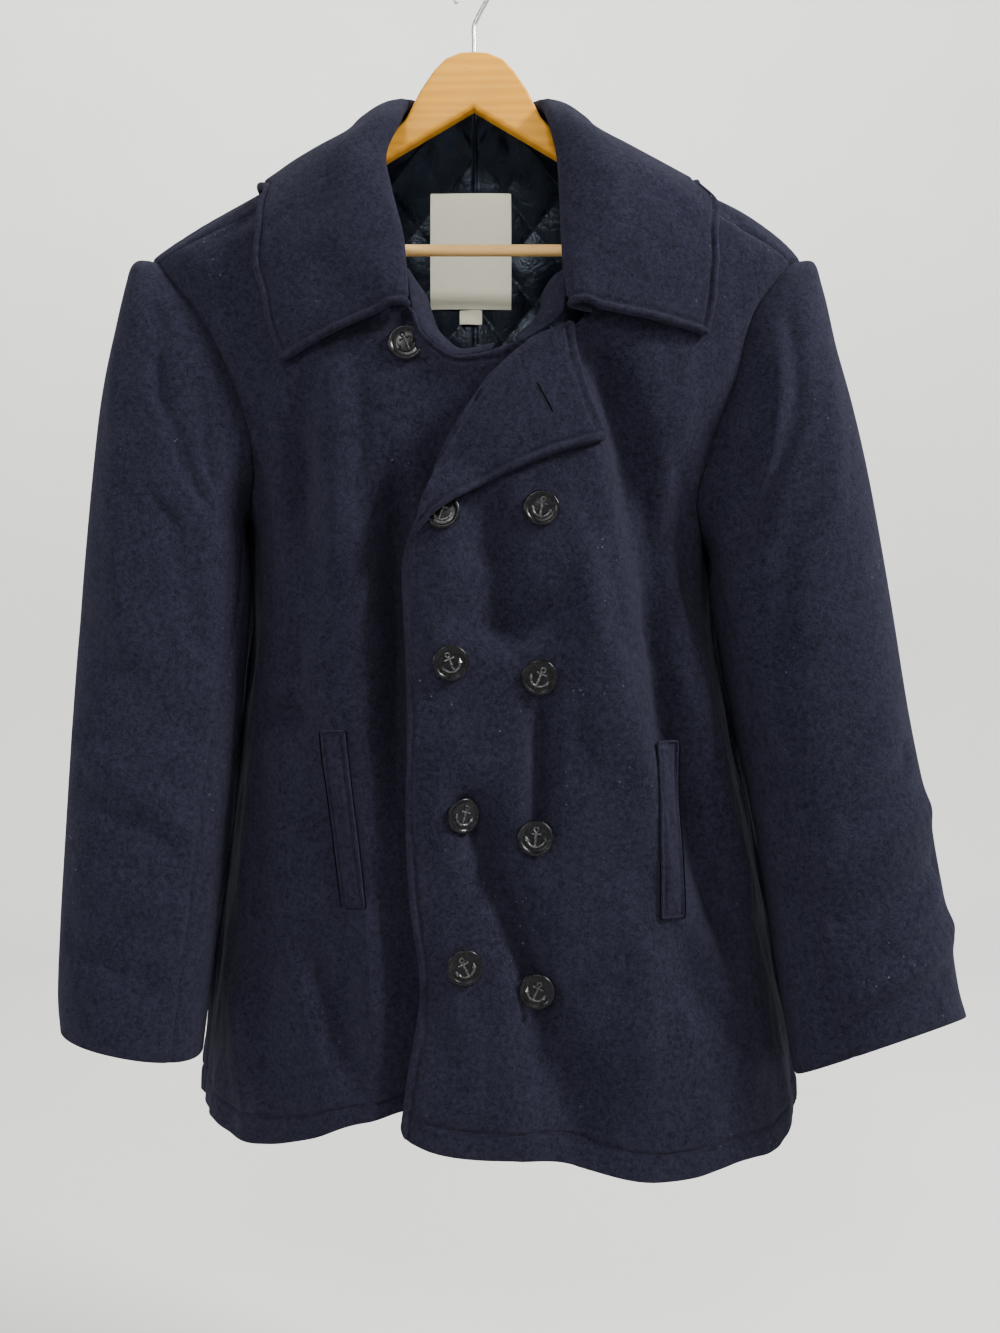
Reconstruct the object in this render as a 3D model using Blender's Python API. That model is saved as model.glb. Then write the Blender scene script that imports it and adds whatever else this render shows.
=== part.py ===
"""A double-breasted navy pea coat hanging on a wooden hanger, one solid for each cut or sewn-on piece.

Metres, +Z up, +X to the viewer's right, the coat's front towards -Y. The origin is the inner top of the
hanger's hook, where a rail or peg carries it. Left and right in names are the viewer's.

The body of the coat is one smooth surface, torso(phi, z): horizontal rings, with phi = 0 at the front
centre, +90 degrees at the viewer's right side and 180 degrees at the centre back. Each panel is a patch of
it between its seams. What lies on a panel is made from the panel's own points, moved out.
"""

import math

import bmesh
import bpy
import numpy as np
from mathutils import Vector
from mathutils.bvhtree import BVHTree

# Driving dimensions
WALL = 0.003  # melton with its interlining
TURNED = 0.0048  # two layers of melton: collar, lapel
GAP = 0.0003  # between pieces at a seam
OVERLAP_LIFT = WALL + 0.0006  # the right front lies over the left one
UNDER_DROP = 0.008  # how far the covered part of the left front falls back
CORNER = 0.8  # how square a ring is: 1 is an ellipse, 0 a box
BUTTON_RADIUS = 0.0139
BUTTON_HEIGHT, BUTTON_SIDES = 0.0052, 12
WELT_WIDTH, WELT_HEIGHT, WELT_THICK = 0.0195, 0.138, 0.0024
LABEL_WIDTH, LABEL_HEIGHT, LABEL_THICK = 0.072, 0.101, 0.0008
TAB_WIDTH, TAB_HEIGHT = 0.020, 0.013
LABEL_X, LABEL_TOP = -0.004, -0.164
LINING_GAP = 0.0012  # between the backs and the lining
LINING_TOP, LINING_LOW = -0.1365, -0.370
LINING_WIDTH = (
    # depth below the origin, half width
    (0.134, 0.056),
    (0.146, 0.074),
    (0.170, 0.104),
    (0.205, 0.122),
    (0.370, 0.118),
)
QUILT_PITCH, QUILT_SLOPE, QUILT_THICK = 0.052, 0.8, 0.0036
WOOD_THICK = 0.013
BAR_RADIUS, BAR_HALF, BAR_Z = 0.0048, 0.1883, -0.2325
WIRE_RADIUS = 0.0019

# Rings of the coat's body: height, left and right edge of the front half, half width of the back half, and
# the y of the front centre, the sides and the back centre
TORSO = (
    # z      left    right   back   front   side   back_y
    (-0.104, -0.050, 0.050, 0.048, -0.020, 0.010, 0.040),
    (-0.134, -0.078, 0.078, 0.076, -0.034, 0.006, 0.050),
    (-0.153, -0.103, 0.104, 0.102, -0.040, 0.004, 0.054),
    (-0.170, -0.142, 0.146, 0.142, -0.046, 0.002, 0.056),
    (-0.192, -0.180, 0.194, 0.185, -0.052, 0.001, 0.058),
    (-0.208, -0.207, 0.226, 0.214, -0.055, 0.000, 0.059),
    (-0.226, -0.237, 0.252, 0.242, -0.058, 0.000, 0.060),
    (-0.247, -0.268, 0.273, 0.268, -0.061, 0.000, 0.061),
    (-0.300, -0.256, 0.258, 0.256, -0.066, 0.001, 0.062),
    (-0.350, -0.229, 0.240, 0.244, -0.070, 0.003, 0.062),
    (-0.404, -0.200, 0.212, 0.232, -0.073, 0.006, 0.062),
    (-0.455, -0.184, 0.193, 0.222, -0.075, 0.009, 0.062),
    (-0.526, -0.180, 0.193, 0.220, -0.077, 0.013, 0.062),
    (-0.634, -0.189, 0.210, 0.238, -0.078, 0.016, 0.063),
    (-0.749, -0.202, 0.234, 0.256, -0.077, 0.018, 0.064),
    (-0.855, -0.215, 0.253, 0.272, -0.076, 0.018, 0.065),
    (-0.900, -0.220, 0.262, 0.277, -0.075, 0.018, 0.065),
    (-0.990, -0.230, 0.272, 0.281, -0.073, 0.018, 0.064),
)

# Neck seams from the front end to the centre back: ring angle in degrees, height
NECK = {
    -1: (
        (10.0, -0.3080),
        (15.0, -0.2500),
        (24.5, -0.2000),
        (34.0, -0.1715),
        (44.0, -0.1515),
        (66.0, -0.1395),
        (90.0, -0.1340),
        (125.0, -0.1290),
        (180.0, -0.1280),
    ),
    1: (
        (16.0, -0.3080),
        (15.0, -0.2500),
        (21.0, -0.2000),
        (31.0, -0.1715),
        (44.0, -0.1515),
        (66.0, -0.1395),
        (90.0, -0.1340),
        (125.0, -0.1290),
        (180.0, -0.1280),
    ),
}
NECK_POINT = 0.46  # where the shoulder seam meets the neck seam, along the neck seam
# Shoulder seam, forward of the shoulder's ridge: ring angle, height
SHOULDER = ((38, -0.1580), (43, -0.1880), (49, -0.2180), (57, -0.2370), (67, -0.2545))

# Armhole seams: angle round the armhole from its top by way of the front, ring angle, height
ARMHOLE = {
    -1: (
        (0, 90, -0.2470),
        (25, 67, -0.2545),
        (60, 55.4, -0.3040),
        (90, 54.9, -0.3510),
        (115, 57.7, -0.3880),
        (135, 62, -0.4120),
        (158, 76, -0.4420),
        (180, 95, -0.4550),
        (205, 113, -0.4420),
        (235, 122, -0.4000),
        (270, 125, -0.3450),
        (305, 121, -0.2950),
        (335, 109, -0.2620),
    ),
    1: (
        (0, 90, -0.2470),
        (25, 67, -0.2545),
        (60, 57, -0.3050),
        (90, 58.5, -0.3520),
        (115, 61.5, -0.3950),
        (135, 64, -0.4320),
        (158, 75, -0.4680),
        (180, 95, -0.4850),
        (205, 113, -0.4700),
        (235, 122, -0.4250),
        (270, 125, -0.3600),
        (305, 121, -0.3000),
        (335, 109, -0.2640),
    ),
}
ARM_GAP = 0.0035  # share of a sleeve's length left open at the armhole's top
SHOULDER_ANGLE = 25  # where the shoulder seam meets the armhole, as an angle round it
SIDE_PHI = 95  # ring angle of the side seams

# Free edge of the front on top, from hem to collar: share of the height, x, z
FRONT_EDGE = (
    (0.00, -0.0560, -0.9420),
    (0.07, -0.0475, -0.8840),
    (0.11, -0.0410, -0.8460),
    (0.15, -0.0400, -0.8150),
    (0.20, -0.0465, -0.7680),
    (0.26, -0.0502, -0.7160),
    (0.40, -0.0498, -0.5990),
    (0.48, -0.0537, -0.5320),
    (0.51, -0.0552, -0.5100),
    (0.54, -0.0520, -0.4880),
    (0.575, -0.0400, -0.4600),
    (0.61, -0.0240, -0.4320),
    (0.67, 0.0095, -0.3800),
    (0.73, 0.0440, -0.3360),
)
# Free edge of the front beneath, from hem to the top of its open lapel and down round the throat
UNDER_EDGE = (
    (0.00, 0.0600, -0.9350),
    (0.30, 0.0600, -0.7000),
    (0.50, 0.0580, -0.5000),
    (0.60, 0.0560, -0.4000),
    (0.655, 0.0540, -0.3400),
    (0.67, 0.0400, -0.3270),
    (0.69, 0.0130, -0.3290),
    (0.71, -0.0080, -0.3380),
    (0.73, -0.0270, -0.3360),
    (0.75, -0.0420, -0.3220),
)
NECK_SHARE = 0.78  # share of the height at which a front reaches the neck seam
BACK_SHARE = 21 / 26  # and a back
UNDERARM_SHARE, UNDERARM_Z = 15 / 26, -0.470  # share of a side edge at the underarm, and its level behind

# Hems from the front edge to the side: share of the width, height
HEM = {
    1: (
        (0.0, -0.9440),
        (0.05, -0.9550),
        (0.11, -0.9612),
        (0.17, -0.9635),
        (0.22, -0.9696),
        (0.27, -0.9765),
        (0.34, -0.9810),
        (0.42, -0.9805),
        (0.55, -0.9730),
        (0.69, -0.9710),
        (0.80, -0.9630),
        (1.0, -0.9550),
    ),
    -1: (
        (0.0, -0.9300),
        (0.21, -0.9325),
        (0.27, -0.9366),
        (0.38, -0.9515),
        (0.50, -0.9590),
        (0.58, -0.9590),
        (0.66, -0.9550),
        (0.76, -0.9510),
        (1.0, -0.9480),
    ),
}
BACK_HEM = {
    1: ((0.0, -0.9480), (0.5, -0.9520), (1.0, -0.9550)),
    -1: ((0.0, -0.9500), (0.5, -0.9500), (1.0, -0.9480)),
}

# Largest folds of the fronts: x, z of each end and of the middle, half width, height (+ ridge, - trough)
FOLDS = (
    # x0      z0      x1      z1      x2      z2     wide    high
    (-0.072, -0.455, -0.070, -0.530, -0.068, -0.640, 0.012, -0.0070),
    (-0.100, -0.340, -0.098, -0.420, -0.096, -0.520, 0.016, 0.0035),
    (-0.133, -0.360, -0.134, -0.410, -0.135, -0.470, 0.012, -0.0030),
    (0.010, -0.450, 0.016, -0.500, 0.028, -0.570, 0.016, -0.0045),
    (-0.020, -0.470, -0.024, -0.520, -0.030, -0.600, 0.016, 0.0030),
    (-0.010, -0.680, 0.030, -0.770, 0.062, -0.870, 0.017, -0.0060),
    (0.062, -0.870, 0.080, -0.920, 0.090, -0.970, 0.030, -0.0060),
    (-0.018, -0.620, -0.020, -0.670, -0.016, -0.720, 0.018, 0.0035),
    (0.055, -0.620, 0.054, -0.670, 0.053, -0.720, 0.010, -0.0030),
    (0.100, -0.335, 0.138, -0.440, 0.146, -0.560, 0.020, -0.0065),
    (0.146, -0.560, 0.168, -0.680, 0.200, -0.790, 0.016, -0.0055),
    (0.090, -0.480, 0.098, -0.580, 0.110, -0.660, 0.024, 0.0035),
    (0.170, -0.540, 0.190, -0.640, 0.225, -0.760, 0.014, 0.0045),
    (-0.125, -0.800, -0.105, -0.850, -0.090, -0.900, 0.016, -0.0035),
    (-0.165, -0.616, -0.145, -0.618, -0.128, -0.622, 0.010, -0.0030),
    (-0.190, -0.850, -0.185, -0.900, -0.180, -0.950, 0.012, 0.0040),
)
# The same for the back
BACK_FOLDS = (
    (-0.118, -0.400, -0.124, -0.470, -0.126, -0.560, 0.018, -0.0045),
    (0.122, -0.410, 0.130, -0.480, 0.132, -0.570, 0.020, -0.0050),
    (-0.060, -0.560, -0.085, -0.700, -0.110, -0.860, 0.026, -0.0050),
    (0.070, -0.600, 0.090, -0.740, 0.120, -0.930, 0.024, -0.0055),
    (-0.150, -0.560, -0.165, -0.680, -0.180, -0.820, 0.020, 0.0045),
    (0.160, -0.520, 0.180, -0.660, 0.195, -0.820, 0.022, 0.0050),
    (0.000, -0.720, 0.004, -0.820, 0.010, -0.940, 0.024, 0.0040),
)

# Sleeves, from armhole to cuff: outer line and inner line (x, z), y of the middle, half depth, and how far
# the section has left the armhole's own shape
SLEEVE = {
    -1: (
        # s     outer_x  outer_z  inner_x  inner_z  y_mid   depth  free
        (0.00, -0.2660, -0.2470, -0.1835, -0.4550, 0.002, 0.052, 0.0),
        (0.03, -0.2760, -0.2475, -0.1870, -0.4600, -0.002, 0.056, 0.30),
        (0.08, -0.2845, -0.2670, -0.1875, -0.4720, -0.006, 0.060, 0.60),
        (0.15, -0.2936, -0.3100, -0.1860, -0.4880, -0.010, 0.061, 0.85),
        (0.25, -0.3020, -0.3600, -0.1845, -0.5080, -0.014, 0.061, 1.0),
        (0.36, -0.3090, -0.4280, -0.1845, -0.5350, -0.017, 0.059, 1.0),
        (0.48, -0.3165, -0.5260, -0.1877, -0.5820, -0.021, 0.056, 1.0),
        (0.60, -0.3220, -0.6200, -0.1930, -0.6450, -0.026, 0.053, 1.0),
        (0.72, -0.3260, -0.7080, -0.1997, -0.7200, -0.031, 0.050, 1.0),
        (0.84, -0.3290, -0.7900, -0.2078, -0.8000, -0.036, 0.047, 1.0),
        (0.93, -0.3300, -0.8420, -0.2140, -0.8560, -0.038, 0.045, 1.0),
        (1.00, -0.3275, -0.8690, -0.2182, -0.8920, -0.039, 0.044, 1.0),
    ),
    1: (
        (0.00, 0.2660, -0.2470, 0.1920, -0.4850, 0.002, 0.052, 0.0),
        (0.03, 0.2765, -0.2475, 0.1950, -0.4890, -0.002, 0.056, 0.30),
        (0.08, 0.2850, -0.2700, 0.1965, -0.4980, -0.006, 0.060, 0.60),
        (0.15, 0.2953, -0.3150, 0.1960, -0.5100, -0.010, 0.061, 0.85),
        (0.25, 0.3085, -0.3660, 0.1965, -0.5270, -0.014, 0.061, 1.0),
        (0.36, 0.3215, -0.4270, 0.2000, -0.5520, -0.017, 0.059, 1.0),
        (0.48, 0.3370, -0.5200, 0.2075, -0.5980, -0.021, 0.056, 1.0),
        (0.60, 0.3515, -0.6200, 0.2200, -0.6600, -0.026, 0.054, 1.0),
        (0.72, 0.3670, -0.7050, 0.2325, -0.7320, -0.031, 0.052, 1.0),
        (0.84, 0.3795, -0.7860, 0.2435, -0.8100, -0.036, 0.050, 1.0),
        (0.93, 0.3870, -0.8400, 0.2520, -0.8690, -0.038, 0.049, 1.0),
        (1.00, 0.3925, -0.8620, 0.2590, -0.9080, -0.039, 0.049, 1.0),
    ),
}
CUFF_LIFT = {-1: 0.001, 1: 0.019}  # how much higher the cuff is in front than a straight one
# Seams between upper and under sleeve: share of the length, angle of the front seam and of the back seam
SLEEVE_SEAMS = {
    -1: ((0.0, 168, 215), (0.4, 158, 222), (0.6, 143, 228), (1.0, 135, 235)),
    1: ((0.0, 168, 215), (0.4, 155, 222), (0.7, 131, 230), (1.0, 119, 238)),
}
# Creases of the sleeves: side, share of the length and angle at both ends, half width, height
SLEEVE_FOLDS = (
    (-1, 0.10, 70, 0.17, 110, 0.014, -0.0035),
    (-1, 0.50, 40, 0.58, 120, 0.016, -0.0030),
    (-1, 0.40, 250, 0.52, 300, 0.018, -0.0045),
    (-1, 0.76, 60, 0.80, 130, 0.014, 0.0030),
    (1, 0.14, 80, 0.20, 130, 0.014, -0.0035),
    (1, 0.70, 30, 0.74, 120, 0.013, 0.0045),
    (1, 0.76, 30, 0.80, 110, 0.010, -0.0040),
    (1, 0.84, 20, 0.90, 110, 0.013, 0.0045),
    (1, 0.42, 250, 0.55, 305, 0.018, -0.0045),
)

# Collar sections from its left front end round the back of the neck to its right front end: share of the way,
# place on the neck seam (-1 left end, 0 centre back, 1 right end), fold line, then outer edge on the coat
COLLAR = (
    # s     neck    fold_x   fold_y   fold_z   phi     z
    (0.00, -1.00, -0.0500, -0.0800, -0.3050, -35.5, -0.3450),
    (0.06, -0.93, -0.0520, -0.0745, -0.2780, -36.0, -0.3130),
    (0.13, -0.87, -0.0555, -0.0665, -0.2440, -35.5, -0.2800),
    (0.20, -0.765, -0.0645, -0.0575, -0.2080, -37.0, -0.2450),
    (0.27, -0.62, -0.0705, -0.0450, -0.1700, -49.0, -0.2130),
    (0.33, -0.48, -0.0610, -0.0285, -0.1370, -62.0, -0.1970),
    (0.38, -0.36, -0.0570, -0.0020, -0.1110, -90.0, -0.1905),
    (0.44, -0.18, -0.0350, 0.0280, -0.1000, -132.0, -0.2020),
    (0.50, 0.00, 0.0030, 0.0440, -0.0980, -180.0, -0.2090),
    (0.56, 0.18, 0.0400, 0.0280, -0.1000, -228.0, -0.2020),
    (0.62, 0.36, 0.0580, -0.0020, -0.1110, -270.0, -0.1875),
    (0.67, 0.48, 0.0620, -0.0285, -0.1350, -298.0, -0.1950),
    (0.73, 0.62, 0.0680, -0.0450, -0.1700, -309.0, -0.2140),
    (0.80, 0.765, 0.0700, -0.0575, -0.2080, -319.0, -0.2410),
    (0.87, 0.87, 0.0710, -0.0665, -0.2440, -320.0, -0.2680),
    (0.94, 0.93, 0.0730, -0.0745, -0.2780, -317.5, -0.2950),
    (1.00, 1.00, 0.0770, -0.0800, -0.3050, -317.5, -0.3220),
)
COLLAR_OFF, BACK_OFF = 0.0023, 0.0022  # its clearance on the coat, and more behind
COLLAR_RISE, COLLAR_BOW = 0.0115, 0.0012  # how far it stands off more: towards its fold, and in its middle
ROLL = 0.0044  # radius of the collar's fold at the middle of its two layers
STAND_BOW, STAND_SHARE = 0.0008, 0.6  # how far its stand bows inward, and how thick it is beside the rest

# Open lapel: fold from the middle down, fold from the middle up, outer edge down from the collar, lower edge
LAPEL_FOLD_LOW = (
    (0.0, 0.0064, -0.3788),
    (0.55, -0.0305, -0.4370),
    (0.8, -0.0405, -0.4580),
    (1.0, -0.0460, -0.4760),
)
LAPEL_FOLD_HIGH = (
    (0.0, 0.0064, -0.3788),
    (0.35, 0.0300, -0.3440),
    (0.6, 0.0480, -0.3280),
    (1.0, 0.0790, -0.3130),
)
LAPEL_OUTER = (
    (0.0, 0.0790, -0.3130),
    (0.3, 0.0820, -0.3360),
    (0.6, 0.0900, -0.3650),
    (1.0, 0.1065, -0.4050),
)
LAPEL_LOWER = (
    (0.0, -0.0460, -0.4760),
    (0.2, -0.0240, -0.4560),
    (0.5, 0.0220, -0.4345),
    (1.0, 0.1065, -0.4050),
)

# Buttons on the fronts: name, x, z
BUTTONS = (
    ("button_1_left", -0.0225, -0.4630),
    ("button_1_right", 0.0534, -0.4597),
    ("button_2_left", -0.0160, -0.5783),
    ("button_2_right", 0.0518, -0.5891),
    ("button_3_left", -0.0079, -0.6950),
    ("button_3_right", 0.0485, -0.7134),
    ("button_4_left", -0.0052, -0.8105),
    ("button_4_right", 0.0511, -0.8309),
)
THROAT_BUTTON = (-0.0515, -0.3300)
# Pocket welts: side, x and z of the middle, lean from upright in degrees
WELTS = ((-1, -0.0995, -0.6990, 7.0), (1, 0.1550, -0.7080, 0.0))

# Hanger: upper outline of one arm and lower outline, x and z
WOOD_TOP = (
    (0.0, -0.0680),
    (0.0120, -0.0690),
    (0.0240, -0.0740),
    (0.0335, -0.0840),
    (0.0444, -0.1000),
    (0.0560, -0.1230),
    (0.0670, -0.1345),
    (0.0780, -0.1446),
    (0.1410, -0.1790),
    (0.2040, -0.2142),
    (0.2160, -0.2250),
)
WOOD_LOW = (
    (0.2190, -0.2300),
    (0.2170, -0.2430),
    (0.2090, -0.2490),
    (0.1930, -0.2470),
    (0.1888, -0.2410),
    (0.1888, -0.2270),
    (0.0, -0.1155),
)
# Hook, from the wood up and over to its tip: x, z
HOOK = (
    (0.0, -0.0677),
    (0.0, -0.0560),
    (0.0, -0.0450),
    (0.0045, -0.0345),
    (0.0105, -0.0235),
    (0.0160, -0.0120),
    (0.0120, -0.0022),
    (0.0, 0.0019),
    (-0.0120, -0.0030),
    (-0.0168, -0.0135),
    (-0.0150, -0.0250),
)

NAVY = (0.020, 0.022, 0.036)
SATIN = (0.012, 0.014, 0.024)
CREAM = (0.55, 0.54, 0.44)
PINE = (0.60, 0.38, 0.17)
STEEL = (0.55, 0.55, 0.56)
BLACK = (0.008, 0.008, 0.010)


PANELS = {}  # the fronts and backs as search trees, for what lies on them


def curve_at(at, knots, values):
    """The smooth curve through values, one row a knot, read at the given places."""
    at = np.atleast_1d(np.asarray(at, float))
    knots = np.asarray(knots, float)
    values = np.asarray(values, float).reshape(len(knots), -1)
    slopes = np.gradient(values, knots, axis=0)
    i = np.clip(np.searchsorted(knots, at, side="right") - 1, 0, len(knots) - 2)
    step = (knots[i + 1] - knots[i])[:, None]
    t = (at[:, None] - knots[i][:, None]) / step
    a = (1 + 2 * t) * (1 - t) ** 2 * values[i] + t * (1 - t) ** 2 * step * slopes[i]
    b = t**2 * (3 - 2 * t) * values[i + 1] - t**2 * (1 - t) * step * slopes[i + 1]
    return a + b


def table_at(at, rows):
    rows = np.asarray(rows, float)
    return curve_at(at, rows[:, 0], rows[:, 1:])


def smooth_step(low, high, at):
    t = np.clip((at - low) / (high - low), 0, 1)
    return t * t * (3 - 2 * t)


def unit(v):
    return v / np.maximum(np.linalg.norm(v, axis=-1, keepdims=True), 1e-12)


def torso(phi, z):
    """A point on the coat's outer surface for a ring angle in radians and a height."""
    z = np.asarray(z, float)
    rings = np.asarray(TORSO)
    row = curve_at(-z, -rings[:, 0], rings[:, 1:])
    left, right, back, front_y, side_y, back_y = row.T
    sine, cosine = np.sin(phi), np.cos(phi)
    turn = np.arccos(np.clip(cosine, -1, 1))
    half = (right - left) / 2
    half = half + (back - half) * smooth_step(math.radians(80), math.radians(125), turn)
    x = (left + right) / 2 + half * np.sign(sine) * np.abs(sine) ** CORNER
    deep = np.where(cosine > 0, front_y - side_y, back_y - side_y)
    return np.stack([x, side_y + deep * np.abs(cosine) ** CORNER, z], 1)


def torso_normal(phi, z):
    step = 1e-4
    across = torso(phi + step, z) - torso(phi - step, z)
    up = torso(phi, z + step) - torso(phi, z - step)
    return unit(np.cross(across, up))


def angle_at(x, z, back=False):
    """The ring angle on the front, or on the back, at which the surface at height z has this x."""
    x, z = np.broadcast_arrays(np.asarray(x, float), np.asarray(z, float))
    low, high = np.full(x.shape, -math.pi / 2), np.full(x.shape, math.pi / 2)
    for _ in range(40):
        middle = (low + high) / 2
        past = torso(math.pi - middle if back else middle, z)[:, 0] > x
        low, high = np.where(past, low, middle), np.where(past, middle, high)
    found = (low + high) / 2
    return math.pi - found if back else found


def fold_height(x, z, folds):
    """Height of the folds at x and z: each a soft ridge or trough along a bent line, fading at its ends."""
    total = np.zeros_like(x)
    for x0, z0, x1, z1, x2, z2, wide, high in folds:
        ends = np.array([[x0, z0], [x1, z1], [x2, z2]])
        t = np.linspace(0, 1, 13)[:, None]
        bend = 2 * ends[1] - (ends[0] + ends[2]) / 2
        line = (1 - t) ** 2 * ends[0] + 2 * t * (1 - t) * bend + t**2 * ends[2]
        off = np.stack([x, z], 1)[:, None, :] - line[None]
        distance = np.sqrt((off**2).sum(2))
        total += high * np.exp(-((distance.min(1) / wide) ** 2))
    return total


def on_coat(phi, z, out):
    """A point moved out from the coat's surface, folds included."""
    base = torso(phi, z)
    front = smooth_step(0.15, 0.45, np.cos(phi))
    back = smooth_step(0.15, 0.45, -np.cos(phi))
    lift = front * fold_height(base[:, 0], z, FOLDS) + back * fold_height(base[:, 0], z, BACK_FOLDS)
    return base + torso_normal(phi, z) * (lift + out)[:, None]


def cover_height(phi, z):
    """How far the panels made so far stand out from the bare surface at these places."""
    reach = 0.05
    base, normal = torso(phi, z), torso_normal(phi, z)
    edge_top = FRONT_EDGE[-1]
    left_only = (base[:, 0] < edge_top[1]) & (z > edge_top[2])
    height = fold_height(base[:, 0], z, FOLDS) + np.where(left_only, under_drop(phi, z), over_lift(phi))
    for i, (point, way) in enumerate(zip(base, normal)):
        start = Vector(point + way * reach)
        hits = [tree.ray_cast(start, Vector(-way), 1.6 * reach)[3] for tree in PANELS.values()]
        found = [reach - far for far in hits if far is not None]
        height[i] = max(found) if found else height[i] * (math.cos(phi[i]) > 0)
    return height


def on_panels(phi, z, out):
    return torso(phi, z) + torso_normal(phi, z) * (cover_height(phi, z) + out)[:, None]


def inside_panels(phi, z, gap):
    """A point inside the coat, the gap away from the inner faces of the panels made so far."""
    reach = 0.04
    base, normal = torso(phi, z), torso_normal(phi, z)
    found = []
    for point, way in zip(base, normal):
        start = Vector(point - way * reach)
        hits = [tree.ray_cast(start, Vector(way), 1.5 * reach)[3] for tree in PANELS.values()]
        found.append(min([far for far in hits if far is not None], default=reach - WALL) - reach)
    return base + normal * (np.array(found) - gap)[:, None]


def coons(u, v, start, end, bottom, top):
    """The patch between four edges: start and end read at v, bottom and top at u."""
    u, v = u[:, None], v[:, None]
    zero, one = np.zeros(1), np.ones(1)
    sides = (1 - u) * start(v[:, 0]) + u * end(v[:, 0])
    ends = (1 - v) * bottom(u[:, 0]) + v * top(u[:, 0])
    low = (1 - u) * start(zero) + u * end(zero)
    high = (1 - u) * start(one) + u * end(one)
    return sides + ends - (1 - v) * low - v * high


def armhole(side, angle):
    """Ring angle and height of an armhole's seam, for an angle round it in degrees."""
    rows = np.asarray(ARMHOLE[side], float)
    around = np.concatenate([rows[-3:] - [360, 0, 0], rows, rows[:4] + [360, 0, 0]])
    found = curve_at(np.mod(angle, 360), around[:, 0], around[:, 1:])
    return np.stack([side * np.radians(found[:, 0]), found[:, 1]], 1)


def neck(side, share):
    """Ring angle and height of the neck seam, from its front end, 0, to the centre back, 1."""
    rows = np.asarray(NECK[side], float)
    found = curve_at(share, np.linspace(0, 1, len(rows)), rows)
    return np.stack([side * np.radians(found[:, 0]), found[:, 1]], 1)


def shoulder(side, share):
    """Ring angle and height of the shoulder seam, from the neck, 0, to the armhole, 1."""
    rows = np.asarray(SHOULDER, float)
    found = curve_at(share, np.linspace(0, 1, len(rows)), rows)
    return np.stack([side * np.radians(found[:, 0]), found[:, 1]], 1)


def seam_start(side):
    return shoulder(side, np.zeros(1))


def side_edge(side, angle_to, hem_z):
    """A panel's edge from the hem up the side seam and round the armhole to angle_to, read by its share."""
    bend = UNDERARM_SHARE

    def edge(v):
        low = np.clip(v / bend, 0, 1)
        high = np.clip((v - bend) / (1 - bend), 0, 1)
        round_hole = armhole(side, 180 + (angle_to - 180) * high)
        under = armhole(side, np.array([180.0]))[0]
        seam_phi = np.full(len(v), side * math.radians(SIDE_PHI))
        straight = np.stack([seam_phi, hem_z + (under[1] - hem_z) * low], 1)
        return np.where((v > bend)[:, None], round_hole, straight)

    return edge


def front_patch(side, u, v):
    """Ring angle and height inside a front: u from its free edge to the side, v from hem to shoulder."""
    edge_rows = FRONT_EDGE if side > 0 else UNDER_EDGE

    def start(at):
        found = table_at(np.minimum(at, edge_rows[-1][0]), edge_rows)
        free = np.stack([angle_at(found[:, 0], found[:, 1]), found[:, 1]], 1)
        on_neck = neck(side, NECK_POINT * np.clip((at - NECK_SHARE) / (1 - NECK_SHARE), 0, 1))
        blend = np.clip((at - edge_rows[-1][0]) / (NECK_SHARE - edge_rows[-1][0]), 0, 1)[:, None]
        return (1 - blend) * free + blend * on_neck

    def bottom(at):
        phi = start(np.zeros(1))[0, 0] * (1 - at) + side * math.radians(SIDE_PHI) * at
        return np.stack([phi, table_at(at, HEM[side])[:, 0]], 1)

    def top(at):
        seam = shoulder(side, at)
        return seam + (1 - at)[:, None] * (start(np.ones(1)) - seam_start(side))

    end = side_edge(side, SHOULDER_ANGLE, HEM[side][-1][1])
    return coons(u, v, start, end, bottom, top)


def back_patch(side, u, v):
    """Ring angle and height in a back half: u from the centre back and the neck to the side, v from hem to
    shoulder."""
    seam = side * math.radians(180)
    top_z, hem = NECK[side][-1][1], BACK_HEM[side]

    def start(at):
        up = np.interp(at, (0, UNDERARM_SHARE, BACK_SHARE), (hem[0][1], UNDERARM_Z, top_z))
        centre = np.stack([np.full(len(at), seam), up], 1)
        on_neck = neck(side, 1 - (1 - NECK_POINT) * np.clip((at - BACK_SHARE) / (1 - BACK_SHARE), 0, 1))
        return np.where((at > BACK_SHARE)[:, None], on_neck, centre)

    def bottom(at):
        phi = seam + (side * math.radians(SIDE_PHI) - seam) * at
        return np.stack([phi, table_at(at, hem)[:, 0]], 1)

    def top(at):
        meet = neck(side, np.array([NECK_POINT])) - seam_start(side)
        return shoulder(side, at) + (1 - at)[:, None] * meet

    end = side_edge(side, 360 + SHOULDER_ANGLE, hem[-1][1])
    return coons(u, v, start, end, bottom, top)


def over_lift(phi):
    """How far the right front stands out where it lies over the left one."""
    turn = np.arctan2(np.sin(phi), np.cos(phi))
    near_edge = 1 - smooth_step(math.radians(22), math.radians(68), turn)
    return OVERLAP_LIFT * near_edge * (turn > math.radians(-30))


def under_drop(phi, z):
    """How far the left front falls back where the right one covers it, without that one's folds."""
    x = torso(phi, z)[:, 0]
    share = smooth_step(-0.066, -0.020, x) * (1 - 0.6 * smooth_step(-0.46, -0.40, z))
    return -share * (UNDER_DROP + fold_height(x, z, FOLDS))


def front(side, u, v, depth):
    """A front, less half a gap along its seams."""
    inward = 0.012 * (1 - u) * smooth_step(NECK_SHARE, 0.9, v)
    phi, z = front_patch(side, u * (1 - 0.0008) + inward, v).T
    lift = over_lift(phi) if side > 0 else under_drop(phi, z)
    return on_coat(phi, z, lift - depth * WALL)


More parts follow.
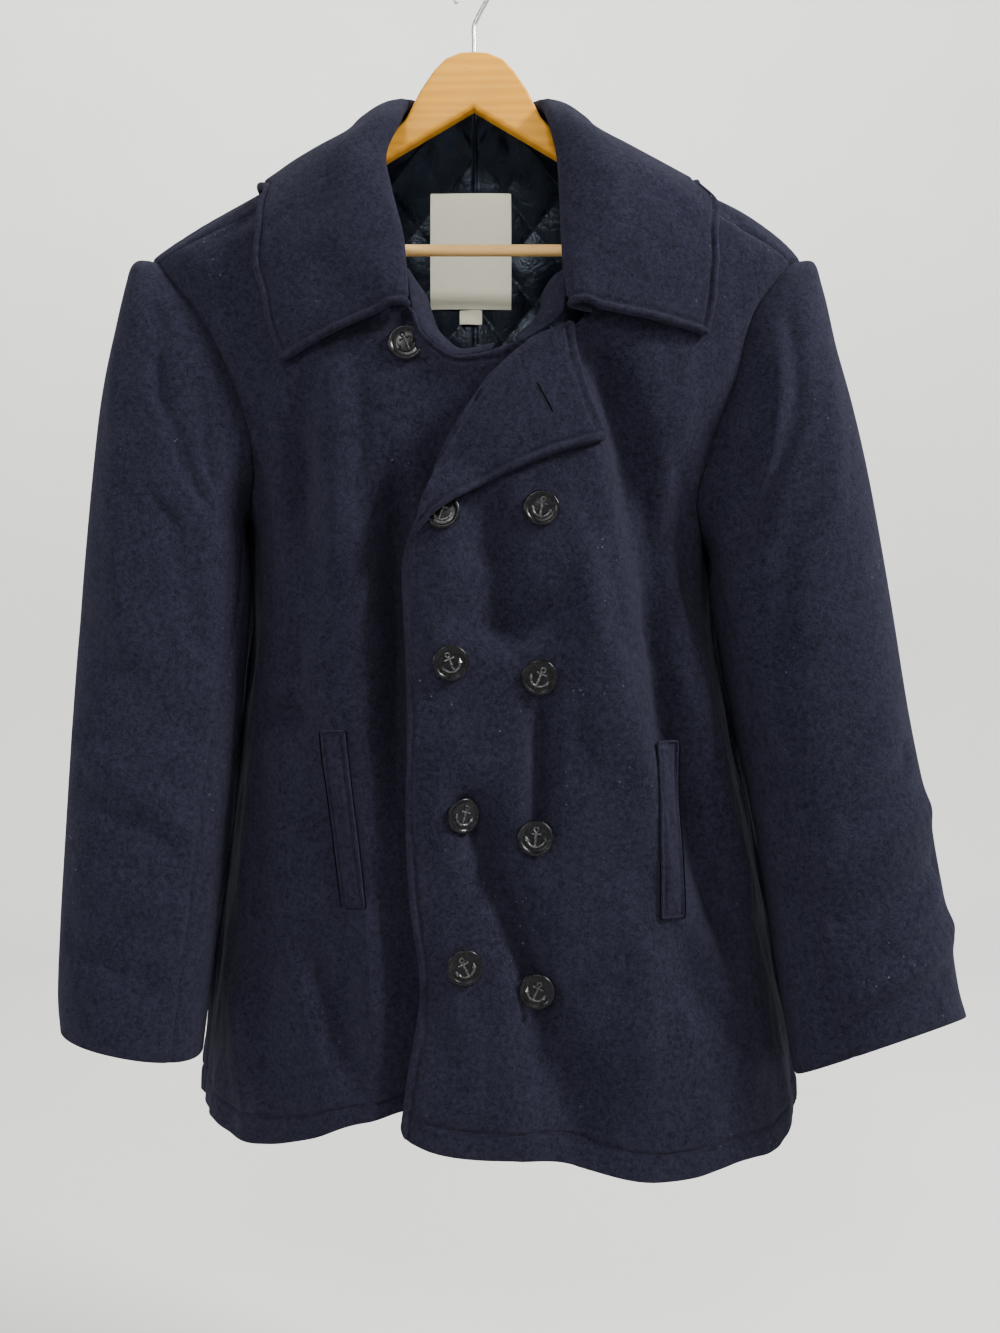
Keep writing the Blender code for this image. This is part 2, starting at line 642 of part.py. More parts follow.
def back(side, u, v, depth):
    near, far = 0.00012, 0.9928
    phi, z = back_patch(side, near + (far - near) * u, v - 0.0015 * v**8).T
    return on_coat(phi, z, -depth * WALL)


def sleeve_shape(side, angle, s):
    """A point on a sleeve for an angle round it in degrees and a share of its length."""
    table = np.asarray(SLEEVE[side])

    def section(rows):
        outer_x, outer_z, inner_x, inner_z, y, deep, free = rows.T
        a = np.radians(angle)
        across = (np.sign(np.cos(a)) * np.abs(np.cos(a)) ** 0.92)[:, None]
        ahead = (np.sign(np.sin(a)) * np.abs(np.sin(a)) ** 0.92)[:, None]
        outer, inner = np.stack([outer_x, y, outer_z], 1), np.stack([inner_x, y, inner_z], 1)
        y_way = np.array([0.0, -1.0, 0.0])
        return (outer + inner) / 2 + (outer - inner) / 2 * across + deep[:, None] * ahead * y_way, free

    point, free = section(curve_at(s, table[:, 0], table[:, 1:]))
    first, _ = section(np.repeat(table[:1, 1:], len(angle), 0))
    hole = armhole(side, angle)
    point[:, 2] += CUFF_LIFT[side] * np.maximum(np.sin(np.radians(angle)), 0) * smooth_step(0.8, 1.0, s)
    return point + (1 - free)[:, None] * (torso(hole[:, 0], hole[:, 1]) - first)


def sleeve_normal(side, angle, s):
    step_angle, step_s = 0.2, 0.001
    at = np.maximum(s, 0.05)
    round_way = sleeve_shape(side, angle + step_angle, at) - sleeve_shape(side, angle - step_angle, at)
    low = np.clip(at - step_s, 0, 1)
    along = sleeve_shape(side, angle, low + 2 * step_s) - sleeve_shape(side, angle, low)
    normal = unit(np.cross(round_way, along)) * side
    hole = armhole(side, angle)
    body = torso_normal(hole[:, 0], hole[:, 1])
    underarm = smooth_step(-0.6, 0.0, -np.cos(np.radians(angle)))
    leave = np.maximum(smooth_step(0.0, 0.05, s), underarm)[:, None]
    return unit((1 - leave) * body + leave * normal)


def sleeve_fold(side, angle, s):
    length, radius = 0.64, 0.065
    total = np.zeros_like(s)
    for fold_side, s0, a0, s1, a1, wide, high in SLEEVE_FOLDS:
        if fold_side != side:
            continue
        t = np.linspace(0, 1, 11)
        off_s = (s[:, None] - (s0 + (s1 - s0) * t)) * length
        off_a = np.radians((angle[:, None] - (a0 + (a1 - a0) * t) + 180) % 360 - 180) * radius
        total += high * np.exp(-((off_s**2 + off_a**2).min(1) / wide**2))
    return total


def sleeve(side, part, u, v, depth):
    """Upper sleeve (part 0) or under sleeve (1): u across from its front seam, v from armhole to cuff."""
    seams = np.asarray(SLEEVE_SEAMS[side])
    front_seam, back_seam = curve_at(v, seams[:, 0], seams[:, 1:]).T
    gap = 0.35  # degrees, half of the seam's gap
    if part == 0:
        angle = front_seam - gap + (back_seam - 360 - front_seam + 2 * gap) * u
    else:
        angle = front_seam + gap + (back_seam - front_seam - 2 * gap) * u
    start = ARM_GAP * (1 + 9 * np.exp(-(((np.mod(angle, 360) - 216) / 26) ** 2)))
    s = start + (1 - start) * v
    out = sleeve_fold(side, np.mod(angle, 360), s) - depth * WALL
    return sleeve_shape(side, angle, s) + sleeve_normal(side, angle, s) * out[:, None]


def collar_section(s):
    """The middle of the collar's wall at one place along it: from the neck seam up, over the fold and out."""
    share, fold_x, fold_y, fold_z, edge_phi, edge_z = table_at([s], COLLAR)[0]
    fold = np.array([fold_x, fold_y, fold_z])
    near = table_at([max(s - 0.01, 0.0), min(s + 0.01, 1.0)], COLLAR)[:, 1:4]
    ahead = near[1] - near[0]
    side = -1 if share < 0 else 1
    seam_phi, seam_z = neck(side, [1 - min(abs(share), 1.0)])[0]
    seam_phi = seam_phi if side < 0 else seam_phi - 2 * math.pi
    t = np.array([0.0, 0.07, 0.25, 0.45, 0.65, 0.84, 1.0])
    phi = seam_phi + (math.radians(edge_phi) - seam_phi) * t
    z = seam_z + (edge_z - seam_z) * t
    out = TURNED / 2 + COLLAR_OFF + COLLAR_RISE * (1 - t) ** 2 + COLLAR_BOW * np.sin(math.pi * t)
    out += BACK_OFF * smooth_step(0.0, 0.5, -np.cos(phi))
    out[0] = TURNED / 2 + COLLAR_OFF + 3 * GAP
    lying = on_panels(phi, z, out)
    down = (lying[2] + lying[0]) / 2 - fold
    ahead = unit(ahead)
    down = unit(down - ahead * down.dot(ahead))
    outward = np.cross(ahead, down)
    outward *= np.sign(outward.dot(torso_normal(phi[1:2], z[1:2])[0]))
    inner = fold + ROLL * (1.1 * down - outward)
    outer = fold + ROLL * (1.1 * down + outward)
    stand = (lying[0] + inner) / 2 - outward * STAND_BOW
    return np.array([lying[0], stand, inner, fold, outer, *lying[1:]])


COLLAR_ROWS = 14
COLLAR_SHARES = np.array([0.0, 1.5, 3.0, 4.0, 5.0, 6.0, 7.4, 9.1, 11.0, 12.5, 14.0]) / COLLAR_ROWS


def collar_middle(s, t):
    found = np.empty((len(s), 3))
    for value in np.unique(s):
        row = s == value
        found[row] = curve_at(t[row], COLLAR_SHARES, collar_section(value))
    return found


def collar(u, v, depth):
    """The collar's wall: u from its left front end round to its right one, v from neck seam to edge."""
    step = 0.002
    low_u, low_v = np.clip(u - step, 0, 1 - 2 * step), np.clip(v - step, 0, 1 - 2 * step)
    along = collar_middle(low_u + 2 * step, v) - collar_middle(low_u, v)
    across = collar_middle(u, low_v + 2 * step) - collar_middle(u, low_v)
    thick = TURNED * (STAND_SHARE + (1 - STAND_SHARE) * smooth_step(0.15, 0.36, v))
    return collar_middle(u, v) + unit(np.cross(across, along)) * (thick * (0.5 - depth))[:, None]


def lapel(u, v, depth):
    """The open lapel, lying on the right front."""
    tables = (LAPEL_FOLD_LOW, LAPEL_OUTER, LAPEL_FOLD_HIGH, LAPEL_LOWER)
    edges = [lambda at, rows=rows: table_at(at, rows) for rows in tables]
    x, z = coons(u, v, *edges).T
    roll = 0.0035 * (1 - smooth_step(0.0, 0.5, u)) * (1 - smooth_step(0.0, 0.9, v)) + 0.0074
    away = np.hypot(x - BUTTONS[0][1], z - BUTTONS[0][2])
    roll = np.maximum(roll, 0.0080 * (1 - smooth_step(0.018, 0.060, away)))
    phi = angle_at(x, z)
    return on_panels(phi, z, GAP + roll + TURNED * (1 - depth))


def facing(u, v, depth):
    """The inside edge of the left front at the throat, turned in towards the neck."""
    phi, z = front_patch(-1, np.zeros(len(v)), 0.745 + 0.085 * v).T
    rail = on_coat(phi, z, under_drop(phi, z) - WALL) + np.array([0.0020, 0.0016, 0.0])
    turned_in = np.array([0.013, 0.018, 0.004])
    thick = np.array([0.0022, -0.0012, -0.0008])
    return rail + u[:, None] * turned_in + depth[:, None] * thick


def welt(side, x_mid, z_mid, lean, u, v, depth):
    turn = math.radians(lean)
    across, up = (u - 0.5) * WELT_WIDTH, (v - 0.5) * WELT_HEIGHT
    x = x_mid + across * math.cos(turn) - up * math.sin(turn)
    z = z_mid + across * math.sin(turn) * 0.3 + up * math.cos(turn)
    return on_panels(angle_at(x, z), z, 2 * GAP + WELT_THICK * (1 - depth))


def lining_thick(x, z):
    """How thick the quilted lining is: puffs between diagonal seams."""
    one = np.abs(np.sin(math.pi * (x + z * QUILT_SLOPE) / QUILT_PITCH))
    two = np.abs(np.sin(math.pi * (x - z * QUILT_SLOPE) / QUILT_PITCH))
    return QUILT_THICK * (0.4 + 0.6 * (one * two) ** 0.6)


def lining(u, v, depth):
    z = LINING_LOW + (LINING_TOP - LINING_LOW) * v
    wide = table_at(-z, LINING_WIDTH)[:, 0]
    x = (2 * u - 1) * wide
    gap = np.where(depth > 0.5, LINING_GAP + lining_thick(x, z), LINING_GAP)
    return inside_panels(angle_at(x, z, back=True), z, gap)


def label_patch(x_mid, top, width, height, u, v, depth):
    x = x_mid + (u - 0.5) * width
    z = top - (1 - v) * height
    gap = LINING_GAP + QUILT_THICK + GAP + LABEL_THICK * depth
    return inside_panels(angle_at(x, z, back=True), z, gap)


def material(name, colour, roughness, metallic=0.0):
    found = bpy.data.materials.get(name)
    if found is None:
        found = bpy.data.materials.new(name)
        found.use_nodes = True
        shader = found.node_tree.nodes["Principled BSDF"]
        shader.inputs["Base Color"].default_value = (*colour, 1.0)
        shader.inputs["Roughness"].default_value = roughness
        shader.inputs["Metallic"].default_value = metallic
        found.diffuse_color = (*colour, 1.0)
    return found


def finish(name, bm, finish_material):
    bmesh.ops.recalc_face_normals(bm, faces=bm.faces)
    if bm.calc_volume(signed=True) < 0:
        bmesh.ops.reverse_faces(bm, faces=bm.faces)
    mesh = bpy.data.meshes.new(name)
    bm.to_mesh(mesh)
    bm.free()
    mesh.shade_smooth()
    mesh.set_sharp_from_angle(angle=math.radians(40))
    mesh.materials.append(finish_material)
    made = bpy.data.objects.new(name, mesh)
    bpy.context.scene.collection.objects.link(made)
    return made


def cloth(name, columns, rows, place, finish_material):
    """A closed wall from a flat grid: place(u, v, depth) puts its outer face, 0, and its inner one, 1."""
    bm = bmesh.new()
    bmesh.ops.create_grid(bm, x_segments=columns, y_segments=rows, size=0.5)
    region = bmesh.ops.extrude_face_region(bm, geom=bm.faces[:], use_keep_orig=True)
    for vert in (item for item in region["geom"] if isinstance(item, bmesh.types.BMVert)):
        vert.co.z = 1.0
    flat = np.array([vert.co[:] for vert in bm.verts])
    for vert, point in zip(bm.verts, place(flat[:, 0] + 0.5, flat[:, 1] + 0.5, flat[:, 2])):
        vert.co = point
    if name.startswith(("front_", "back_left", "back_right")):
        PANELS[name] = BVHTree.FromBMesh(bm)
    return finish(name, bm, finish_material)


def button(name, x, z, finish_material):
    """A domed disc with a raised rim and a short shank, square to the cloth under it."""
    profile = ((0, 0), (0.0030, 0), (0.0032, 0.0011), (BUTTON_RADIUS, 0.0022))
    top = ((BUTTON_RADIUS, 0.0038), (0.0124, 0.0044), (0.0110, 0.0036), (0, BUTTON_HEIGHT))
    bm = bmesh.new()
    verts = [bm.verts.new((r, 0, h)) for r, h in profile + top]
    edges = [bm.edges.new(pair) for pair in zip(verts, verts[1:])]
    turn = {"cent": (0, 0, 0), "axis": (0, 0, 1), "angle": 2 * math.pi, "steps": BUTTON_SIDES}
    bmesh.ops.spin(bm, geom=verts + edges, use_merge=True, **turn)
    bmesh.ops.remove_doubles(bm, verts=bm.verts, dist=1e-6)
    ring = np.radians(np.arange(0, 360, 45))
    rim_x, rim_z = x + BUTTON_RADIUS * np.cos(ring), z + BUTTON_RADIUS * np.sin(ring)
    phi = angle_at([x], [z])
    rim = on_panels(angle_at(rim_x, rim_z), rim_z, GAP * np.ones(8))
    spokes = rim - rim.mean(0)
    normal = unit(sum(np.cross(a, b) for a, b in zip(spokes, np.roll(spokes, -1, 0))))
    middle = on_panels(phi, np.array([z]), GAP * np.ones(1))[0]
    normal = normal * -np.sign(normal[1])
    needed = max([(middle - rim.mean(0)).dot(normal), *(spokes @ normal - 0.0008)])
    seat = rim.mean(0) + normal * needed
    right = unit(np.cross([0, 0, 1], normal))
    frame = np.stack([right, np.cross(normal, right), normal], 1)
    for vert in bm.verts:
        vert.co = seat + frame @ np.array(vert.co)
    return finish(name, bm, finish_material)


def hanger_wood(finish_material):
    half = list(WOOD_TOP) + list(WOOD_LOW)
    outline = half + [(-x, z) for x, z in reversed(half) if x > 0]
    bm = bmesh.new()
    face = bm.faces.new([bm.verts.new((x, -WOOD_THICK / 2, z)) for x, z in outline])
    moved = bmesh.ops.extrude_face_region(bm, geom=[face], use_keep_orig=True)["geom"]
    rear = [item for item in moved if isinstance(item, bmesh.types.BMVert)]
    bmesh.ops.translate(bm, verts=rear, vec=(0, WOOD_THICK, 0))
    bmesh.ops.recalc_face_normals(bm, faces=bm.faces)
    rims = [e for e in bm.edges if len({round(v.co.y, 5) for v in e.verts}) == 1]
    bmesh.ops.bevel(bm, geom=rims, offset=0.0022, segments=1, affect="EDGES", profile=0.5, material=-1)
    return finish("hanger_wood", bm, finish_material)


def tube(name, points, radius, sides, finish_material):
    """A round bar along smooth points, closed at both ends."""
    data = bpy.data.curves.new(name, "CURVE")
    data.dimensions = "3D"
    data.bevel_depth = radius
    data.bevel_resolution = sides
    data.use_fill_caps = True
    spline = data.splines.new("POLY")
    spline.points.add(len(points) - 1)
    for place, point in zip(spline.points, points):
        place.co = (*point, 1.0)
    data.materials.append(finish_material)
    made = bpy.data.objects.new(name, data)
    bpy.context.scene.collection.objects.link(made)
    return made


def build():
    for old in list(bpy.data.objects):
        bpy.data.objects.remove(old, do_unlink=True)
    wool = material("navy melton wool", NAVY, 0.95)
    satin = material("navy satin lining", SATIN, 0.35)
    woven = material("cream woven label", CREAM, 0.8)
    wood = material("varnished pine", PINE, 0.35)
    steel = material("hanger steel", STEEL, 0.3, 1.0)
    black = material("black moulded button", BLACK, 0.25)
    names = {-1: "left", 1: "right"}
    for side, word in names.items():
        cloth(f"front_{word}", 14, 26, lambda u, v, d, s=side: front(s, u, v, d), wool)
        cloth(f"back_{word}", 10, 26, lambda u, v, d, s=side: back(s, u, v, d), wool)
        for part, piece in enumerate(("upper_sleeve", "under_sleeve")):
            place = lambda u, v, d, s=side, p=part: sleeve(s, p, u, v, d)
            cloth(f"{piece}_{word}", (12, 4)[part], 20, place, wool)
    cloth("collar", 38, COLLAR_ROWS, collar, wool)
    cloth("lapel_right", 8, 8, lapel, wool)
    cloth("neck_facing", 2, 8, facing, wool)
    for side, x, z, lean in WELTS:
        place = lambda u, v, d, s=side, x=x, z=z, lean=lean: welt(s, x, z, lean, u, v, d)
        cloth(f"pocket_welt_{names[side]}", 2, 10, place, wool)
    cloth("back_lining", 13, 13, lining, satin)
    label = lambda u, v, d: label_patch(LABEL_X, LABEL_TOP, LABEL_WIDTH, LABEL_HEIGHT, u, v, d)
    cloth("neck_label", 5, 5, label, woven)
    tab_top = LABEL_TOP - LABEL_HEIGHT - GAP
    tab = lambda u, v, d: label_patch(LABEL_X, tab_top, TAB_WIDTH, TAB_HEIGHT, u, v, d)
    cloth("size_tab", 2, 1, tab, woven)
    for name, x, z in BUTTONS:
        button(name, x, z, black)
    button("button_throat", *THROAT_BUTTON, black)
    hanger_wood(wood)
    tube("hanger_bar", [(-BAR_HALF, 0, BAR_Z), (BAR_HALF, 0, BAR_Z)], BAR_RADIUS, 2, wood)
    rows = np.asarray(HOOK)
    wire = curve_at(np.linspace(0, 1, 27), np.linspace(0, 1, len(rows)), rows)
    tube("hanger_hook", [(x, 0, z) for x, z in wire], WIRE_RADIUS, 1, steel)


build()
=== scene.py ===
"""Looks of a double-breasted navy pea coat on its wooden hanger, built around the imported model.

Metres, +Z up, +X to the viewer's right, the coat's front towards -Y. The origin is the inner top of the
hanger's hook. Left and right in names are the viewer's. The body of the coat is one smooth surface,
torso(phi, z): horizontal rings, phi = 0 at the front centre and 180 degrees at the centre back.
"""

import math

import bmesh
import bpy
import numpy as np
from bpy.props import FloatProperty, FloatVectorProperty, IntProperty, PointerProperty
from mathutils import Matrix, Vector


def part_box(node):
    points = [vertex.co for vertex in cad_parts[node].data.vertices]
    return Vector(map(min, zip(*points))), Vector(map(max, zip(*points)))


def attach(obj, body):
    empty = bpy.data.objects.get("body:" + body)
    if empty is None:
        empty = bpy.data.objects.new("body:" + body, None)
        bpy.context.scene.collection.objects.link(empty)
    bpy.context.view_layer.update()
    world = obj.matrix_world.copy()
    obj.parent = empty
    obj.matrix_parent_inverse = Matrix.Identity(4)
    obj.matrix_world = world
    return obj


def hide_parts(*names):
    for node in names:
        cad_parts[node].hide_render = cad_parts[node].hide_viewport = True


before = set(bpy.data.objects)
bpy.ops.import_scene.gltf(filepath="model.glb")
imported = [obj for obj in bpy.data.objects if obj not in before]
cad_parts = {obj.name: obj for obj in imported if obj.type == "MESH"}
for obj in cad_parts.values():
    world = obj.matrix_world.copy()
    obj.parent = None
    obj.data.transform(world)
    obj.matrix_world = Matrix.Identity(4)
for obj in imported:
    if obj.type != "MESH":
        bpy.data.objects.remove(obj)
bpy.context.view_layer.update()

bl_info = {
    "name": "Pea coat on a hanger",
    "version": (1, 0, 0),
    "blender": (4, 5, 0),
    "location": "View3D > Sidebar > Coat",
    "description": "Builds a wool pea coat with its lining, buttons, stitching and hanger",
    "category": "Object",
}

# Driving dimensions
WALL = 0.003  # melton with its interlining
TURNED = 0.0048  # two layers of melton: collar, lapel
GAP = 0.0003  # between pieces at a seam
OVERLAP_LIFT = WALL + 0.0006  # the right front lies over the left one
UNDER_DROP = 0.015  # how far the covered part of the left front falls back
CORNER = 0.8  # how square a ring is: 1 is an ellipse, 0 a box
BUTTON_RADIUS = 0.0139
WELT_WIDTH, WELT_HEIGHT, WELT_THICK = 0.0195, 0.138, 0.0024
LABEL_WIDTH, LABEL_HEIGHT, LABEL_THICK = 0.072, 0.101, 0.0008
TAB_WIDTH, TAB_HEIGHT = 0.020, 0.013
LABEL_X, LABEL_TOP = -0.004, -0.164
LINING_GAP = 0.0012  # between the backs and the lining
LINING_LOW = -0.370
LINING_WIDTH = (
    # depth below the origin, half width
    (0.134, 0.056),
    (0.146, 0.074),
    (0.170, 0.104),
    (0.205, 0.122),
    (0.370, 0.118),
)
QUILT_PITCH, QUILT_SLOPE, QUILT_THICK = 0.052, 0.8, 0.0036
WOOD_THICK = 0.013
BAR_RADIUS, BAR_HALF, BAR_Z = 0.0048, 0.1883, -0.2325
WIRE_RADIUS = 0.0019

# Rings of the coat's body: height, left and right edge of the front half, half width of the back half, and
# the y of the front centre, the sides and the back centre
TORSO = (
    # z      left    right   back   front   side   back_y
    (-0.104, -0.050, 0.050, 0.048, -0.020, 0.010, 0.040),
    (-0.134, -0.078, 0.078, 0.076, -0.034, 0.006, 0.050),
    (-0.153, -0.103, 0.104, 0.102, -0.040, 0.004, 0.054),
    (-0.170, -0.142, 0.146, 0.142, -0.046, 0.002, 0.056),
    (-0.192, -0.180, 0.194, 0.185, -0.052, 0.001, 0.058),
    (-0.208, -0.207, 0.226, 0.214, -0.055, 0.000, 0.059),
    (-0.226, -0.237, 0.252, 0.242, -0.058, 0.000, 0.060),
    (-0.247, -0.268, 0.273, 0.268, -0.061, 0.000, 0.061),
    (-0.300, -0.256, 0.258, 0.256, -0.066, 0.001, 0.062),
    (-0.350, -0.229, 0.240, 0.244, -0.070, 0.003, 0.062),
    (-0.404, -0.200, 0.212, 0.232, -0.073, 0.006, 0.062),
    (-0.455, -0.184, 0.193, 0.222, -0.075, 0.009, 0.062),
    (-0.526, -0.180, 0.193, 0.220, -0.077, 0.013, 0.062),
    (-0.634, -0.189, 0.210, 0.238, -0.078, 0.016, 0.063),
    (-0.749, -0.202, 0.234, 0.256, -0.077, 0.018, 0.064),
    (-0.855, -0.215, 0.253, 0.272, -0.076, 0.018, 0.065),
    (-0.900, -0.220, 0.262, 0.277, -0.075, 0.018, 0.065),
    (-0.990, -0.230, 0.272, 0.281, -0.073, 0.018, 0.064),
)

# Neck seams from the front end to the centre back: ring angle in degrees, height
NECK = {
    -1: (
        (10.0, -0.3080),
        (15.0, -0.2500),
        (24.5, -0.2000),
        (34.0, -0.1715),
        (44.0, -0.1515),
        (66.0, -0.1395),
        (90.0, -0.1340),
        (125.0, -0.1290),
        (180.0, -0.1280),
    ),
    1: (
        (16.0, -0.3080),
        (15.0, -0.2500),
        (21.0, -0.2000),
        (31.0, -0.1715),
        (44.0, -0.1515),
        (66.0, -0.1395),
        (90.0, -0.1340),
        (125.0, -0.1290),
        (180.0, -0.1280),
    ),
}
NECK_POINT = 0.46  # where the shoulder seam meets the neck seam, along the neck seam
# Shoulder seam, forward of the shoulder's ridge: ring angle, height
SHOULDER = ((38, -0.1580), (43, -0.1880), (49, -0.2180), (57, -0.2370), (67, -0.2545))

# Armhole seams: angle round the armhole from its top by way of the front, ring angle, height
ARMHOLE = {
    -1: (
        (0, 90, -0.2470),
        (25, 67, -0.2545),
        (60, 55.4, -0.3040),
        (90, 54.9, -0.3510),
        (115, 57.7, -0.3880),
        (135, 62, -0.4120),
        (158, 76, -0.4420),
        (180, 95, -0.4550),
        (205, 113, -0.4420),
        (235, 122, -0.4000),
        (270, 125, -0.3450),
        (305, 121, -0.2950),
        (335, 109, -0.2620),
    ),
    1: (
        (0, 90, -0.2470),
        (25, 67, -0.2545),
        (60, 57, -0.3050),
        (90, 58.5, -0.3520),
        (115, 61.5, -0.3950),
        (135, 64, -0.4320),
        (158, 75, -0.4680),
        (180, 95, -0.4850),
        (205, 113, -0.4700),
        (235, 122, -0.4250),
        (270, 125, -0.3600),
        (305, 121, -0.3000),
        (335, 109, -0.2640),
    ),
}
SHOULDER_ANGLE = 25  # where the shoulder seam meets the armhole, as an angle round it
SIDE_PHI = 95  # ring angle of the side seams

# Free edge of the front on top, from hem to collar: share of the height, x, z
FRONT_EDGE = (
    (0.00, -0.0560, -0.9420),
    (0.07, -0.0475, -0.8840),
    (0.11, -0.0410, -0.8460),
    (0.15, -0.0400, -0.8150),
    (0.20, -0.0465, -0.7680),
    (0.26, -0.0502, -0.7160),
    (0.40, -0.0498, -0.5990),
    (0.48, -0.0537, -0.5320),
    (0.51, -0.0552, -0.5100),
    (0.54, -0.0520, -0.4880),
    (0.575, -0.0400, -0.4600),
    (0.61, -0.0240, -0.4320),
    (0.67, 0.0095, -0.3800),
    (0.73, 0.0440, -0.3360),
)
# Free edge of the front beneath, from hem to the top of its open lapel and down round the throat
UNDER_EDGE = (
    (0.00, 0.0600, -0.9350),
    (0.30, 0.0600, -0.7000),
    (0.50, 0.0580, -0.5000),
    (0.60, 0.0560, -0.4000),
    (0.655, 0.0540, -0.3400),
    (0.67, 0.0400, -0.3270),
    (0.69, 0.0130, -0.3290),
    (0.71, -0.0080, -0.3380),
    (0.73, -0.0270, -0.3360),
    (0.75, -0.0420, -0.3220),
)
NECK_SHARE = 0.78  # share of the height at which a front reaches the neck seam
BACK_SHARE = 21 / 26  # and a back
UNDERARM_SHARE, UNDERARM_Z = 15 / 26, -0.470  # share of a side edge at the underarm, and its level behind

# Hems from the front edge to the side: share of the width, height
HEM = {
    1: (
        (0.0, -0.9440),
        (0.05, -0.9550),
        (0.11, -0.9612),
        (0.17, -0.9635),
        (0.22, -0.9696),
        (0.27, -0.9765),
        (0.34, -0.9810),
        (0.42, -0.9805),
        (0.55, -0.9730),
        (0.69, -0.9710),
        (0.80, -0.9630),
        (1.0, -0.9550),
    ),
    -1: (
        (0.0, -0.9300),
        (0.21, -0.9325),
        (0.27, -0.9366),
        (0.38, -0.9515),
        (0.50, -0.9590),
        (0.58, -0.9590),
        (0.66, -0.9550),
        (0.76, -0.9510),
        (1.0, -0.9480),
    ),
}
BACK_HEM = {
    1: ((0.0, -0.9480), (0.5, -0.9520), (1.0, -0.9550)),
    -1: ((0.0, -0.9500), (0.5, -0.9500), (1.0, -0.9480)),
}

# Largest folds of the fronts: x, z of each end and of the middle, half width, height (+ ridge, - trough)
FOLDS = (
    # x0      z0      x1      z1      x2      z2     wide    high
    (-0.072, -0.455, -0.070, -0.530, -0.068, -0.640, 0.012, -0.0070),
    (-0.100, -0.340, -0.098, -0.420, -0.096, -0.520, 0.016, 0.0035),
    (-0.133, -0.360, -0.134, -0.410, -0.135, -0.470, 0.012, -0.0030),
    (0.010, -0.450, 0.016, -0.500, 0.028, -0.570, 0.016, -0.0045),
    (-0.020, -0.470, -0.024, -0.520, -0.030, -0.600, 0.016, 0.0030),
    (-0.010, -0.680, 0.030, -0.770, 0.062, -0.870, 0.017, -0.0060),
    (0.062, -0.870, 0.080, -0.920, 0.090, -0.970, 0.030, -0.0060),
    (-0.018, -0.620, -0.020, -0.670, -0.016, -0.720, 0.018, 0.0035),
    (0.055, -0.620, 0.054, -0.670, 0.053, -0.720, 0.010, -0.0030),
    (0.100, -0.335, 0.138, -0.440, 0.146, -0.560, 0.020, -0.0065),
    (0.146, -0.560, 0.168, -0.680, 0.200, -0.790, 0.016, -0.0055),
    (0.090, -0.480, 0.098, -0.580, 0.110, -0.660, 0.024, 0.0035),
    (0.170, -0.540, 0.190, -0.640, 0.225, -0.760, 0.014, 0.0045),
    (-0.125, -0.800, -0.105, -0.850, -0.090, -0.900, 0.016, -0.0035),
    (-0.165, -0.616, -0.145, -0.618, -0.128, -0.622, 0.010, -0.0030),
    (-0.190, -0.850, -0.185, -0.900, -0.180, -0.950, 0.012, 0.0040),
)
# The same for the back
BACK_FOLDS = (
    (-0.118, -0.400, -0.124, -0.470, -0.126, -0.560, 0.018, -0.0045),
    (0.122, -0.410, 0.130, -0.480, 0.132, -0.570, 0.020, -0.0050),
    (-0.060, -0.560, -0.085, -0.700, -0.110, -0.860, 0.026, -0.0050),
    (0.070, -0.600, 0.090, -0.740, 0.120, -0.930, 0.024, -0.0055),
    (-0.150, -0.560, -0.165, -0.680, -0.180, -0.820, 0.020, 0.0045),
    (0.160, -0.520, 0.180, -0.660, 0.195, -0.820, 0.022, 0.0050),
    (0.000, -0.720, 0.004, -0.820, 0.010, -0.940, 0.024, 0.0040),
)

